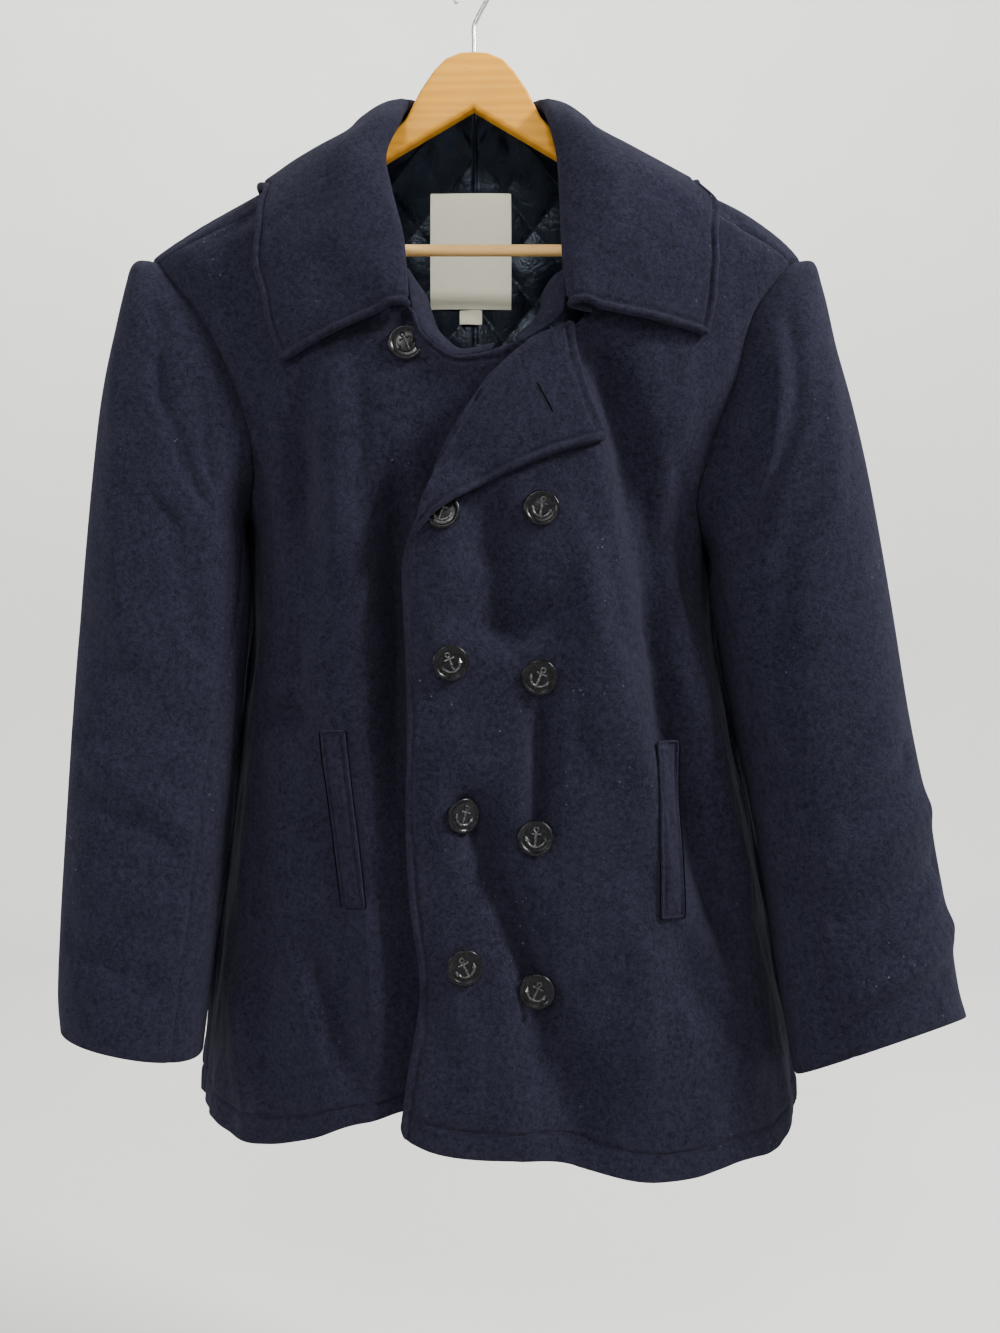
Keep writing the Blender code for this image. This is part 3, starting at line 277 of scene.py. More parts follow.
# Sleeves, from armhole to cuff: outer line and inner line (x, z), y of the middle, half depth, and how far
# the section has left the armhole's own shape
SLEEVE = {
    -1: (
        # s     outer_x  outer_z  inner_x  inner_z  y_mid   depth  free
        (0.00, -0.2660, -0.2470, -0.1835, -0.4550, 0.002, 0.052, 0.0),
        (0.03, -0.2760, -0.2475, -0.1870, -0.4600, -0.002, 0.056, 0.30),
        (0.08, -0.2845, -0.2670, -0.1875, -0.4720, -0.006, 0.060, 0.60),
        (0.15, -0.2936, -0.3100, -0.1860, -0.4880, -0.010, 0.061, 0.85),
        (0.25, -0.3020, -0.3600, -0.1845, -0.5080, -0.014, 0.061, 1.0),
        (0.36, -0.3090, -0.4280, -0.1845, -0.5350, -0.017, 0.059, 1.0),
        (0.48, -0.3165, -0.5260, -0.1877, -0.5820, -0.021, 0.056, 1.0),
        (0.60, -0.3220, -0.6200, -0.1930, -0.6450, -0.026, 0.053, 1.0),
        (0.72, -0.3260, -0.7080, -0.1997, -0.7200, -0.031, 0.050, 1.0),
        (0.84, -0.3290, -0.7900, -0.2078, -0.8000, -0.036, 0.047, 1.0),
        (0.93, -0.3300, -0.8420, -0.2140, -0.8560, -0.038, 0.045, 1.0),
        (1.00, -0.3275, -0.8690, -0.2182, -0.8920, -0.039, 0.044, 1.0),
    ),
    1: (
        (0.00, 0.2660, -0.2470, 0.1920, -0.4850, 0.002, 0.052, 0.0),
        (0.03, 0.2765, -0.2475, 0.1950, -0.4890, -0.002, 0.056, 0.30),
        (0.08, 0.2850, -0.2700, 0.1965, -0.4980, -0.006, 0.060, 0.60),
        (0.15, 0.2953, -0.3150, 0.1960, -0.5100, -0.010, 0.061, 0.85),
        (0.25, 0.3085, -0.3660, 0.1965, -0.5270, -0.014, 0.061, 1.0),
        (0.36, 0.3215, -0.4270, 0.2000, -0.5520, -0.017, 0.059, 1.0),
        (0.48, 0.3370, -0.5200, 0.2075, -0.5980, -0.021, 0.056, 1.0),
        (0.60, 0.3515, -0.6200, 0.2200, -0.6600, -0.026, 0.054, 1.0),
        (0.72, 0.3670, -0.7050, 0.2325, -0.7320, -0.031, 0.052, 1.0),
        (0.84, 0.3795, -0.7860, 0.2435, -0.8100, -0.036, 0.050, 1.0),
        (0.93, 0.3870, -0.8400, 0.2520, -0.8690, -0.038, 0.049, 1.0),
        (1.00, 0.3925, -0.8620, 0.2590, -0.9080, -0.039, 0.049, 1.0),
    ),
}
CUFF_LIFT = {-1: 0.001, 1: 0.019}  # how much higher the cuff is in front than a straight one
# Seams between upper and under sleeve: share of the length, angle of the front seam and of the back seam
SLEEVE_SEAMS = {
    -1: ((0.0, 168, 215), (0.4, 158, 222), (0.6, 143, 228), (1.0, 135, 235)),
    1: ((0.0, 168, 215), (0.4, 155, 222), (0.7, 131, 230), (1.0, 119, 238)),
}
# Creases of the sleeves: side, share of the length and angle at both ends, half width, height
SLEEVE_FOLDS = (
    (-1, 0.10, 70, 0.17, 110, 0.014, -0.0035),
    (-1, 0.50, 40, 0.58, 120, 0.016, -0.0030),
    (-1, 0.40, 250, 0.52, 300, 0.018, -0.0045),
    (-1, 0.76, 60, 0.80, 130, 0.014, 0.0030),
    (1, 0.14, 80, 0.20, 130, 0.014, -0.0035),
    (1, 0.70, 30, 0.74, 120, 0.013, 0.0045),
    (1, 0.76, 30, 0.80, 110, 0.010, -0.0040),
    (1, 0.84, 20, 0.90, 110, 0.013, 0.0045),
    (1, 0.42, 250, 0.55, 305, 0.018, -0.0045),
)

# Collar sections from its left front end round the back of the neck to its right front end: share of the way,
# place on the neck seam (-1 left end, 0 centre back, 1 right end), fold line, then outer edge on the coat
COLLAR = (
    # s     neck    fold_x   fold_y   fold_z   phi     z
    (0.00, -1.00, -0.0500, -0.0800, -0.3050, -35.5, -0.3450),
    (0.06, -0.93, -0.0520, -0.0745, -0.2780, -35.0, -0.3130),
    (0.13, -0.87, -0.0555, -0.0665, -0.2440, -34.0, -0.2800),
    (0.20, -0.765, -0.0645, -0.0575, -0.2080, -35.5, -0.2450),
    (0.27, -0.62, -0.0705, -0.0450, -0.1700, -49.0, -0.2130),
    (0.33, -0.48, -0.0610, -0.0285, -0.1370, -62.0, -0.1970),
    (0.38, -0.36, -0.0570, -0.0020, -0.1110, -90.0, -0.1905),
    (0.44, -0.18, -0.0350, 0.0280, -0.1000, -132.0, -0.2020),
    (0.50, 0.00, 0.0030, 0.0440, -0.0980, -180.0, -0.2090),
    (0.56, 0.18, 0.0400, 0.0280, -0.1000, -228.0, -0.2020),
    (0.62, 0.36, 0.0580, -0.0020, -0.1110, -270.0, -0.1875),
    (0.67, 0.48, 0.0620, -0.0285, -0.1350, -298.0, -0.1950),
    (0.73, 0.62, 0.0680, -0.0450, -0.1700, -309.0, -0.2140),
    (0.80, 0.765, 0.0700, -0.0575, -0.2080, -319.0, -0.2410),
    (0.87, 0.87, 0.0710, -0.0665, -0.2440, -320.0, -0.2680),
    (0.94, 0.93, 0.0730, -0.0745, -0.2780, -317.5, -0.2950),
    (1.00, 1.00, 0.0770, -0.0800, -0.3050, -317.5, -0.3220),
)
COLLAR_OFF, BACK_OFF = 0.0023, 0.0022  # its clearance on the coat, and more behind
COLLAR_RISE, COLLAR_BOW = 0.0115, 0.0012  # how far it stands off more: towards its fold, and in its middle
ROLL = 0.0044  # radius of the collar's fold at the middle of its two layers
STAND_BOW = 0.0008  # how far its stand bows inward

# Open lapel: fold from the middle down, fold from the middle up, outer edge down from the collar, lower edge
LAPEL_FOLD_LOW = (
    (0.0, 0.0064, -0.3788),
    (0.55, -0.0305, -0.4370),
    (0.8, -0.0395, -0.4600),
    (1.0, -0.0440, -0.4830),
)
LAPEL_FOLD_HIGH = (
    (0.0, 0.0064, -0.3788),
    (0.35, 0.0300, -0.3440),
    (0.6, 0.0480, -0.3280),
    (1.0, 0.0790, -0.3130),
)
LAPEL_OUTER = (
    (0.0, 0.0790, -0.3130),
    (0.3, 0.0820, -0.3360),
    (0.6, 0.0900, -0.3650),
    (1.0, 0.1065, -0.4050),
)
LAPEL_LOWER = (
    (0.0, -0.0440, -0.4830),
    (0.2, -0.0270, -0.4645),
    (0.5, 0.0200, -0.4368),
    (0.75, 0.0640, -0.4178),
    (1.0, 0.1065, -0.4050),
)

# Buttons on the fronts: name, x, z
BUTTONS = (
    ("button_1_left", -0.0225, -0.4630),
    ("button_1_right", 0.0534, -0.4597),
    ("button_2_left", -0.0160, -0.5783),
    ("button_2_right", 0.0518, -0.5891),
    ("button_3_left", -0.0079, -0.6950),
    ("button_3_right", 0.0485, -0.7134),
    ("button_4_left", -0.0052, -0.8105),
    ("button_4_right", 0.0511, -0.8309),
)
THROAT_BUTTON = (-0.0515, -0.3300)
# Pocket welts: side, x and z of the middle, lean from upright in degrees
WELTS = ((-1, -0.0995, -0.6990, 7.0), (1, 0.1550, -0.7080, 0.0))

# Hanger: upper outline of one arm and lower outline, x and z
WOOD_TOP = (
    (0.0, -0.0680),
    (0.0120, -0.0690),
    (0.0240, -0.0740),
    (0.0335, -0.0840),
    (0.0444, -0.1000),
    (0.0560, -0.1230),
    (0.0670, -0.1345),
    (0.0780, -0.1446),
    (0.1410, -0.1790),
    (0.2040, -0.2142),
    (0.2160, -0.2250),
)
WOOD_LOW = (
    (0.2190, -0.2300),
    (0.2170, -0.2430),
    (0.2090, -0.2490),
    (0.1930, -0.2470),
    (0.1888, -0.2410),
    (0.1888, -0.2270),
    (0.0, -0.1155),
)
# Hook, from the wood up and over to its tip: x, z
HOOK = (
    (0.0, -0.0677),
    (0.0, -0.0560),
    (0.0, -0.0450),
    (0.0045, -0.0345),
    (0.0105, -0.0235),
    (0.0160, -0.0120),
    (0.0120, -0.0022),
    (0.0, 0.0019),
    (-0.0120, -0.0030),
    (-0.0168, -0.0135),
    (-0.0150, -0.0250),
)


# Distances from an edge of a grid's closest lines, where the cloth rounds off and on beyond a row of stitches
RIM_LINES = (0.0, 0.0003, 0.0008, 0.0015, 0.0026)
STITCH_LINES = (0.0040, 0.0052, 0.0062, 0.0071, 0.0080, 0.0092, 0.0110)
HEM_LINES = (-0.0024, -0.0012, 0.0, 0.0012, 0.0024)  # and of those on either side of the hem's stitches
HEIGHT = 0.84  # length of a front or back
# Grids of the cloth: length and step across, length and step up, and the ways in which they cross stitches
GRIDS = {
    "front": (0.31, 0.0034, HEIGHT, 0.0033, "across"),
    "back": (0.31, 0.0042, HEIGHT, 0.0042),
    "upper_sleeve": (0.31, 0.0034, 0.62, 0.0034),
    "under_sleeve": (0.10, 0.0034, 0.62, 0.0034),
    "collar": (1.02, 0.0034, 0.16, 0.0030, "across", "up"),
    "lapel": (0.10, 0.0016, 0.13, 0.0016),
    "facing": (0.022, 0.0013, 0.11, 0.0018),
    "welt": (WELT_WIDTH, 0.0012, WELT_HEIGHT, 0.0016),
    "lining": (0.24, 0.0019, 0.24, 0.0019),
    "neck_label": (LABEL_WIDTH, 0.0014, LABEL_HEIGHT, 0.0014),
    "size_tab": (TAB_WIDTH, 0.0014, TAB_HEIGHT, 0.0014),
}
FEW_LINES = 12  # a grid with fewer lines keeps its corners
RIM_START = 0.03  # share of a rim's radius at which it starts

HEM_INSET, HEM_GROOVE = 0.026, 0.0019  # share of the height at which the hem is stitched, half width of its groove
HEM_SPAN, HEM_POINTS, HEM_BESIDE = (0.004, 0.996), 420, 0.004  # shares of the width and height, for its stitches
STITCH_GROOVE, EDGE_PUFF = 0.0017, 0.7  # half width of a stitched groove, swell between it and the edge as its share
SEAM_ALLOWANCE = 0.0026  # how far a sleeve's cloth goes on inside the armhole
SEAM_WIDTH = 0.0022  # half width of the dip at a seam
COLLAR_CLEAR = 0.0016  # its clearance on the coat
COLLAR_REACH = (0.0, 0.07, 0.25, 0.45, 0.65, 0.84, 1.0)  # shares of the way from neck seam to outer edge
FOLD_ANGLES = (-math.pi / 2, -math.pi / 4, 0.0, math.pi / 4, math.pi / 2)
FOLD_DEEP = 1.1  # how much deeper than round the collar's fold is
RING_SIZE = 0.24  # about how far the cloth runs in one radian of a ring

RIDGE_GAIN, TROUGH_GAIN = 2.0, 2.7  # how much higher and deeper the folds are than in the plain solids
FINE_TROUGH_GAIN = 1.35  # the same for the troughs of the smaller ones
FOLD_REACH = 3.2  # a fold has no effect this many widths away
FOLD_END = 0.35  # height of a fold's ends beside its middle
FOLD_FADE = (0.15, 0.45)  # cosines of the ring angle between which the folds start, from the sides
BRIDGE = 0.6  # share of a trough that collar and lapel lie across
# Radius of free corners, of the front's at the hem, and of the lapel's
ROUND_CORNER, HEM_CORNER, TIP = 0.0045, 0.009, 0.006
FOLDED_RIM = 0.92  # radius of the lapel along its fold, as a share of its thickness
# Smaller folds that the plain solids leave out, in the same columns as FOLDS
FINE_FOLDS = (
    (-0.062, -0.430, -0.062, -0.550, -0.061, -0.700, 0.0105, -0.0110),
    (-0.048, -0.500, -0.049, -0.580, -0.047, -0.700, 0.0080, 0.0017),
    (-0.112, -0.350, -0.110, -0.430, -0.108, -0.540, 0.0110, 0.0041),
    (-0.090, -0.335, -0.088, -0.390, -0.084, -0.450, 0.0090, -0.0038),
    (-0.150, -0.350, -0.152, -0.430, -0.156, -0.540, 0.0120, 0.0032),
    (-0.133, -0.420, -0.137, -0.520, -0.142, -0.640, 0.0110, -0.0035),
    (-0.170, -0.640, -0.150, -0.652, -0.125, -0.655, 0.0150, 0.0035),
    (-0.185, -0.600, -0.165, -0.600, -0.150, -0.608, 0.0080, 0.0023),
    (-0.139, -0.810, -0.124, -0.850, -0.108, -0.905, 0.0130, 0.0043),
    (-0.110, -0.700, -0.100, -0.760, -0.088, -0.830, 0.0100, -0.0026),
    (-0.082, -0.760, -0.078, -0.840, -0.076, -0.930, 0.0110, 0.0038),
    (-0.170, -0.760, -0.168, -0.830, -0.164, -0.930, 0.0140, -0.0035),
    (-0.012, -0.545, 0.025, -0.550, 0.064, -0.540, 0.0150, -0.0058),
    (-0.020, -0.505, 0.010, -0.512, 0.030, -0.522, 0.0090, 0.0023),
    (0.050, -0.590, 0.053, -0.650, 0.050, -0.715, 0.0100, -0.0055),
    (-0.012, -0.680, 0.028, -0.760, 0.052, -0.850, 0.0090, -0.0046),
    (0.022, -0.720, 0.048, -0.780, 0.072, -0.850, 0.0090, 0.0035),
    (0.080, -0.470, 0.092, -0.520, 0.096, -0.580, 0.0120, 0.0052),
    (0.112, -0.560, 0.124, -0.630, 0.138, -0.700, 0.0130, 0.0038),
    (0.090, -0.330, 0.116, -0.410, 0.130, -0.500, 0.0110, -0.0070),
    (0.142, -0.520, 0.152, -0.610, 0.168, -0.700, 0.0090, -0.0049),
    (0.170, -0.700, 0.190, -0.760, 0.210, -0.830, 0.0090, -0.0038),
    (0.122, -0.350, 0.148, -0.420, 0.156, -0.500, 0.0100, 0.0032),
    (0.160, -0.400, 0.170, -0.470, 0.178, -0.550, 0.0100, -0.0026),
    (0.165, -0.790, 0.180, -0.840, 0.215, -0.880, 0.0150, -0.0049),
    (0.120, -0.760, 0.132, -0.830, 0.140, -0.930, 0.0150, 0.0038),
    (0.020, -0.860, 0.030, -0.900, 0.040, -0.960, 0.0120, 0.0041),
    (-0.020, -0.760, -0.012, -0.830, 0.004, -0.920, 0.0120, 0.0038),
)
FINE_BACK_FOLDS = (
    (-0.030, -0.260, -0.060, -0.320, -0.100, -0.380, 0.014, -0.0034),
    (0.030, -0.260, 0.060, -0.330, 0.105, -0.390, 0.014, -0.0034),
    (-0.030, -0.560, -0.040, -0.700, -0.050, -0.900, 0.018, 0.0039),
    (0.035, -0.600, 0.042, -0.740, 0.060, -0.930, 0.018, 0.0042),
    (0.110, -0.760, 0.140, -0.840, 0.150, -0.940, 0.016, 0.0036),
    (-0.130, -0.760, -0.140, -0.850, -0.150, -0.940, 0.016, -0.0039),
)
FINE_SLEEVE_FOLDS = (
    (-1, 0.06, 60, 0.13, 78, 0.0080, -0.0033),
    (-1, 0.05, 95, 0.11, 118, 0.0080, -0.0030),
    (-1, 0.16, 40, 0.30, 62, 0.0130, 0.0027),
    (-1, 0.30, 100, 0.46, 125, 0.0130, -0.0036),
    (-1, 0.36, 60, 0.50, 80, 0.0130, 0.0030),
    (-1, 0.62, 40, 0.70, 130, 0.0120, 0.0033),
    (-1, 0.66, 50, 0.73, 120, 0.0080, -0.0030),
    (-1, 0.84, 50, 0.90, 120, 0.0120, -0.0033),
    (1, 0.05, 55, 0.12, 72, 0.0080, -0.0036),
    (1, 0.07, 78, 0.14, 100, 0.0070, 0.0030),
    (1, 0.06, 105, 0.16, 125, 0.0090, -0.0033),
    (1, 0.18, 50, 0.34, 70, 0.0130, 0.0030),
    (1, 0.30, 100, 0.48, 120, 0.0140, -0.0033),
    (1, 0.60, 52, 0.66, 110, 0.0120, 0.0026),
    (1, 0.64, 47, 0.69, 95, 0.0080, -0.0029),
    (1, 0.79, 37, 0.83, 80, 0.0070, 0.0026),
    (1, 0.90, 52, 0.95, 120, 0.0090, -0.0026),
)
# Waves of the cloth as a whole: length across, length up, turn, height
WAVES = (
    (0.085, 0.210, 0.6, 0.0009),
    (0.047, 0.120, 2.1, 0.0005),
    (0.150, 0.090, 4.0, 0.0007),
    (0.031, 0.055, 1.3, 0.00022),
)
WAVES_FADE = (0.18, 0.24)  # depths below the origin between which they start
SLEEVE_WAVES = 1.4  # how much higher they are on the sleeves
SLEEVE_LENGTH, SLEEVE_RADIUS = 0.64, 0.065  # of a sleeve laid out flat, on which its creases are measured
SLEEVE_CORNER = 0.92  # how square a sleeve is, as CORNER
CUFF_FROM = 0.8  # share of the length at which its cuff starts to rise in front
# Shares of a sleeve's length over which it leaves the armhole's folds and its allowance, and creases and waves start
FOLLOW, ALLOWED, CREASED, WAVED = 0.12, 0.02, 0.03, 0.06
# Where the right front lies over the left one: ring angles at which it comes down again and starts, in degrees
OVERLAP_FADE, OVERLAP_FROM = (22, 68), -30
# Where the left front falls back behind it: x beside the lapel and below it, and the heights between the two
COVERED, TUCKED, LAPEL_END = (-0.066, -0.020), (-0.082, -0.050), (-0.46, -0.40)
UPPER_EASE = 0.6  # how much less it falls back beside the lapel
# The left front's top edge at the throat, from its lapel's end under the right front to its collar: x, z
THROAT = (
    (0.0540, -0.3400),
    (0.0450, -0.3300),
    (0.0318, -0.3298),
    (0.0141, -0.3359),
    (-0.0058, -0.3398),
    (-0.0196, -0.3382),
    (-0.0334, -0.3275),
    (-0.0411, -0.3175),
    (-0.0480, -0.3014),
)
THROAT_END, SEAM_END = 0.34, 0.68  # shares of the left front's top taken up by the throat and by the neck seam
THROAT_ON_NECK = 0.06  # where the throat ends, along the neck seam
LIP, LIP_WIDTH = 0.0085, 0.016  # how far the throat's edge stands off, and how soon that is gone
LIP_FADE = (-0.058, -0.036)  # x between which it starts
LEFT_GRID = (45, 90)  # columns and rows in which the left front's places are evened out
LAPEL_CLEAR, LAPEL_RISE = 0.0016, 0.0075  # how far the lapel lies off the front, and more at the root of its fold
LAPEL_RISE_ENDS = (0.75, 0.9)  # shares of its width and height at which that is gone
BUTTON_CLEAR, BUTTON_NEAR = 0.0072, (0.016, 0.055)  # how far it lies off over the first button, and how near that
# The lining goes on up the inside of the collar's stand: its top, and depth and half width there
STAND_TOP = -0.0990
NECK_LINING_WIDTH = ((0.099, 0.026), (0.112, 0.037), (0.124, 0.047), (0.134, 0.056))
LINING_SHEET, LINING_RIM = 0.0014, 0.0006  # how thick the quilt is drawn, and the radius of its edges
QUILT_FLAT, QUILT_ROUND = 0.25, 0.45  # how thick it is at its stitches, and how round its pads are
CENTRE_SEAM = (0.0012, 0.0016)  # depth and half width
GATHERS, GATHERS_WIDE, GATHERS_TALL, GATHERS_LEAN = 0.0012, 0.034, 0.070, 40
GATHERED = (-0.175, -0.135)  # heights between which the gathers start
STAND_PUFF, STAND_PUFFED = 0.0035, (-0.135, -0.112)  # how far the stand's lining stands off, and where that starts
LABEL_BOW, LABEL_RIPPLE = 0.0010, 0.0006
FACING_THICK, FACING_RIM, FACING_DEEP = 0.0026, 0.0011, 0.020
FACING_UNDER, FACING_OVER = 0.0016, 0.0010  # how far the facing starts below the left front, and above the right
# Where the right front's facing turns in behind its lapel: x, z, then how far across and down its inner
# edge lies
LAPEL_FACING = (
    (0.0380, -0.3320, -0.004, 0.006),
    (0.0528, -0.3229, -0.009, 0.007),
    (0.0651, -0.3144, -0.013, 0.009),
    (0.0715, -0.3043, -0.016, 0.008),
    (0.0729, -0.2896, -0.016, 0.004),
    (0.0725, -0.2750, -0.010, 0.001),
)
# The same for the left front's facing at the throat
THROAT_FACING = (
    (0.0141, -0.3359, 0.004, 0.010),
    (-0.0058, -0.3398, 0.006, 0.010),
    (-0.0196, -0.3382, 0.009, 0.009),
    (-0.0334, -0.3275, 0.012, 0.007),
    (-0.0411, -0.3175, 0.014, 0.005),
    (-0.0470, -0.3014, 0.015, 0.004),
    (-0.0500, -0.2830, 0.013, 0.001),
    (-0.0530, -0.2670, 0.006, 0.000),
)
BUTTONHOLE, BUTTONHOLE_HALF = ((0.0505, -0.3644), (0.0619, -0.3856)), 0.0013  # x and z of its ends, half width
# Threads other than the topstitching, and the strokes of painted shade in the buttonhole's slit and along the
# pockets' mouths: length, pitch, radius
BUTTONHOLE_THREAD, SLIT, MOUTH = (0.0016, 0.0013, 0.00040), (0.0040, 0.0010, 0.00055), (0.0060, 0.0016, 0.00085)
WELT_STITCHED, MOUTH_OUT = 0.0026, 0.0008  # a welt's stitches from its edge, and how far apart its two lines of painted shade at the mouth are
STITCH_RUN = 40  # stitches made at a time
WAY_OUT = (0.0, -1.0, 0.0)

# Section of a button from the middle of its back round the rim to the middle of its face: distance from the
# axis, height
BUTTON_SECTION = (
    (0, 0),
    (0.0028, 0),
    (0.0030, 0.0009),
    (0.0060, 0.0013),
    (BUTTON_RADIUS - 0.0016, 0.0018),
    (BUTTON_RADIUS - 0.0004, 0.0023),
    (BUTTON_RADIUS, 0.0031),
    (BUTTON_RADIUS - 0.0003, 0.0038),
    (BUTTON_RADIUS - 0.0010, 0.0043),
    (BUTTON_RADIUS - 0.0019, 0.0044),
    (BUTTON_RADIUS - 0.0026, 0.0041),
    (BUTTON_RADIUS - 0.0031, 0.0035),
    (BUTTON_RADIUS - 0.0037, 0.0033),
    (0.0060, 0.0035),
    (0.0030, 0.0037),
    (0, 0.0038),
)
ANCHOR_SIZE, ANCHOR_HIGH = 0.0092, 0.0037  # half the anchor's height, and how high it lies on the button
BUTTON_SINK = 0.0008  # how far a button's rim may sink into the wool
BUTTON_TURN = 0.45  # the most that a button is turned from upright, in radians
INNER_BUTTON = (0.0060, -0.0560, -0.3330)
INNER_BACK, INNER_FACE, INNER_THICK, INNER_ROUND, INNER_LEAN = 0.0056, 0.0050, 0.0022, 0.0006, 80
WOOD_ROUND = 0.0034  # radius of the wood's edges
SIDES = {-1: "left", 1: "right"}
ALL_EDGES = ("left", "right", "low", "high")
SEAMS = []  # rows of stitches still to be sewn: points and normals

WOOD = ((0.44, 0.185, 0.014), (0.72, 0.34, 0.030))  # dark and light of the hanger's wood
BAR_WOOD = ((0.78, 0.45, 0.16), (0.95, 0.62, 0.26))
WOOL = (0.0215, 0.0212, 0.0385)
CREAM = (0.55, 0.54, 0.44)
PINE = (0.60, 0.38, 0.17)
# Lining: a darker tone painted as shade in the low places of its rumples, and its own tone
SATIN_SHADE, SATIN = (0.0012, 0.0022, 0.0048), (0.0035, 0.0060, 0.0130)

# Lights: name, place, what it points at, size, power, tint
LIGHTS = (
    ("key light", (2.0, -0.70, 1.10), (0.05, 0.0, -0.50), (0.45, 0.6), 175.0, (1.0, 0.99, 0.98)),
    ("front light", (-0.30, -2.4, 1.05), (0.0, 0.0, -0.4), (0.6, 0.5), 42.0, (1.0, 0.99, 0.97)),
    ("left light", (-2.3, -0.8, 0.2), (0.0, 0.0, -0.6), (0.7, 0.9), 36.0, (0.95, 0.97, 1.0)),
    ("wall light", (0.0, 0.8, 2.4), (0.0, 3.0, -0.3), (2.4, 0.8), 190.0, (1.0, 1.0, 1.0)),
)
AIR, AIR_COLOUR = 0.07, (0.93, 0.95, 1.0, 1.0)
FLOOR_Z, FLOOR_RADIUS, FLOOR_BEND, WALL_TOP = -1.32, 2.2, 0.8, 3.2
CAMERA_PLACE, CAMERA_LENS, CAMERA_WIDTH = (0.0218, -0.925, -0.581), 29.8156, 36.0


def curve_at(at, knots, values):
    """The smooth curve through values, one row a knot, read at the given places."""
    at = np.atleast_1d(np.asarray(at, float))
    knots = np.asarray(knots, float)
    values = np.asarray(values, float).reshape(len(knots), -1)
    slopes = np.gradient(values, knots, axis=0)
    i = np.clip(np.searchsorted(knots, at, side="right") - 1, 0, len(knots) - 2)
    step = (knots[i + 1] - knots[i])[:, None]
    t = (at[:, None] - knots[i][:, None]) / step
    a = (1 + 2 * t) * (1 - t) ** 2 * values[i] + t * (1 - t) ** 2 * step * slopes[i]
    b = t**2 * (3 - 2 * t) * values[i + 1] - t**2 * (1 - t) * step * slopes[i + 1]
    return a + b


def table_at(at, rows):
    """The smooth curve through rows whose first column is the place."""
    rows = np.asarray(rows, float)
    return curve_at(at, rows[:, 0], rows[:, 1:])


def even_curve(share, rows):
    """The smooth curve through rows that are evenly spaced along it, read at shares of its length."""
    return curve_at(share, np.linspace(0, 1, len(rows)), rows)


def smooth_step(low, high, at):
    """0 up to low and 1 from high on, with a soft rise between."""
    t = np.clip((at - low) / (high - low), 0, 1)
    return t * t * (3 - 2 * t)


def unit(v):
    return v / np.maximum(np.linalg.norm(v, axis=-1, keepdims=True), 1e-12)


def torso(phi, z):
    """A point on the coat's outer surface for a ring angle in radians and a height."""
    z = np.asarray(z, float)
    rings = np.asarray(TORSO)
    row = curve_at(-z, -rings[:, 0], rings[:, 1:])
    left, right, back, front_y, side_y, back_y = row.T
    sine, cosine = np.sin(phi), np.cos(phi)
    turn = np.arccos(np.clip(cosine, -1, 1))
    half = (right - left) / 2
    half = half + (back - half) * smooth_step(math.radians(80), math.radians(125), turn)
    x = (left + right) / 2 + half * np.sign(sine) * np.abs(sine) ** CORNER
    deep = np.where(cosine > 0, front_y - side_y, back_y - side_y)
    return np.stack([x, side_y + deep * np.abs(cosine) ** CORNER, z], 1)


def torso_normal(phi, z):
    """The way out from the coat's surface."""
    step = 1e-4
    across = torso(phi + step, z) - torso(phi - step, z)
    up = torso(phi, z + step) - torso(phi, z - step)
    return unit(np.cross(across, up))


def angle_at(x, z, back=False):
    """The ring angle on the front, or on the back, at which the surface at height z has this x."""
    x, z = np.broadcast_arrays(np.asarray(x, float), np.asarray(z, float))
    low, high = np.full(x.shape, -math.pi / 2), np.full(x.shape, math.pi / 2)
    for _ in range(40):
        middle = (low + high) / 2
        past = torso(math.pi - middle if back else middle, z)[:, 0] > x
        low, high = np.where(past, low, middle), np.where(past, middle, high)
    found = (low + high) / 2
    return math.pi - found if back else found


def fold_height(x, z, folds):
    """Height of the folds at x and z: each a soft ridge or trough along a bent line, fading at its ends."""
    total, places = np.zeros_like(x), np.stack([x, z], 1)
    for x0, z0, x1, z1, x2, z2, wide, high in folds:
        reach = FOLD_REACH * wide
        inside = (x > min(x0, x1, x2) - reach) & (x < max(x0, x1, x2) + reach)
        inside &= (z > min(z0, z1, z2) - reach) & (z < max(z0, z1, z2) + reach)
        here = places[inside]
        if not len(here):
            continue
        ends = np.array([[x0, z0], [x1, z1], [x2, z2]])
        t = np.linspace(0, 1, 9)[:, None]
        bend = 2 * ends[1] - (ends[0] + ends[2]) / 2
        line = (1 - t) ** 2 * ends[0] + 2 * t * (1 - t) * bend + t**2 * ends[2]
        near = np.full(len(here), np.inf)
        for one, two in zip(line, line[1:]):
            way = two - one
            share = np.clip((here - one) @ way / (way @ way), 0, 1)
            near = np.minimum(near, ((here - one - share[:, None] * way) ** 2).sum(1))
        chord = ends[2] - ends[0]
        along = np.clip((here - ends[0]) @ chord / (chord @ chord), 0, 1)
        swell = FOLD_END + (1 - FOLD_END) * np.sin(math.pi * along) ** 0.5
        total[inside] += high * np.exp(-near / wide**2) * swell
    return total


def deepened(large, fine):
    """Large and fine folds together, at their full height and depth."""
    large = np.where(large > 0, RIDGE_GAIN, TROUGH_GAIN) * large
    return large + np.where(fine > 0, 1.0, FINE_TROUGH_GAIN) * fine


def front_folds(x, z):
    return deepened(fold_height(x, z, FOLDS), fold_height(x, z, FINE_FOLDS))


def back_folds(x, z):
    return deepened(fold_height(x, z, BACK_FOLDS), fold_height(x, z, FINE_BACK_FOLDS))


def waves(across, z):
    """Low waves of the cloth, which no piece of it hangs without."""
    total = np.zeros_like(z)
    for wide, tall, turn, high in WAVES:
        total += high * np.sin(2 * math.pi * across / wide + turn) * np.sin(2 * math.pi * z / tall + 1.7 * turn)
    return total * smooth_step(*WAVES_FADE, -z)


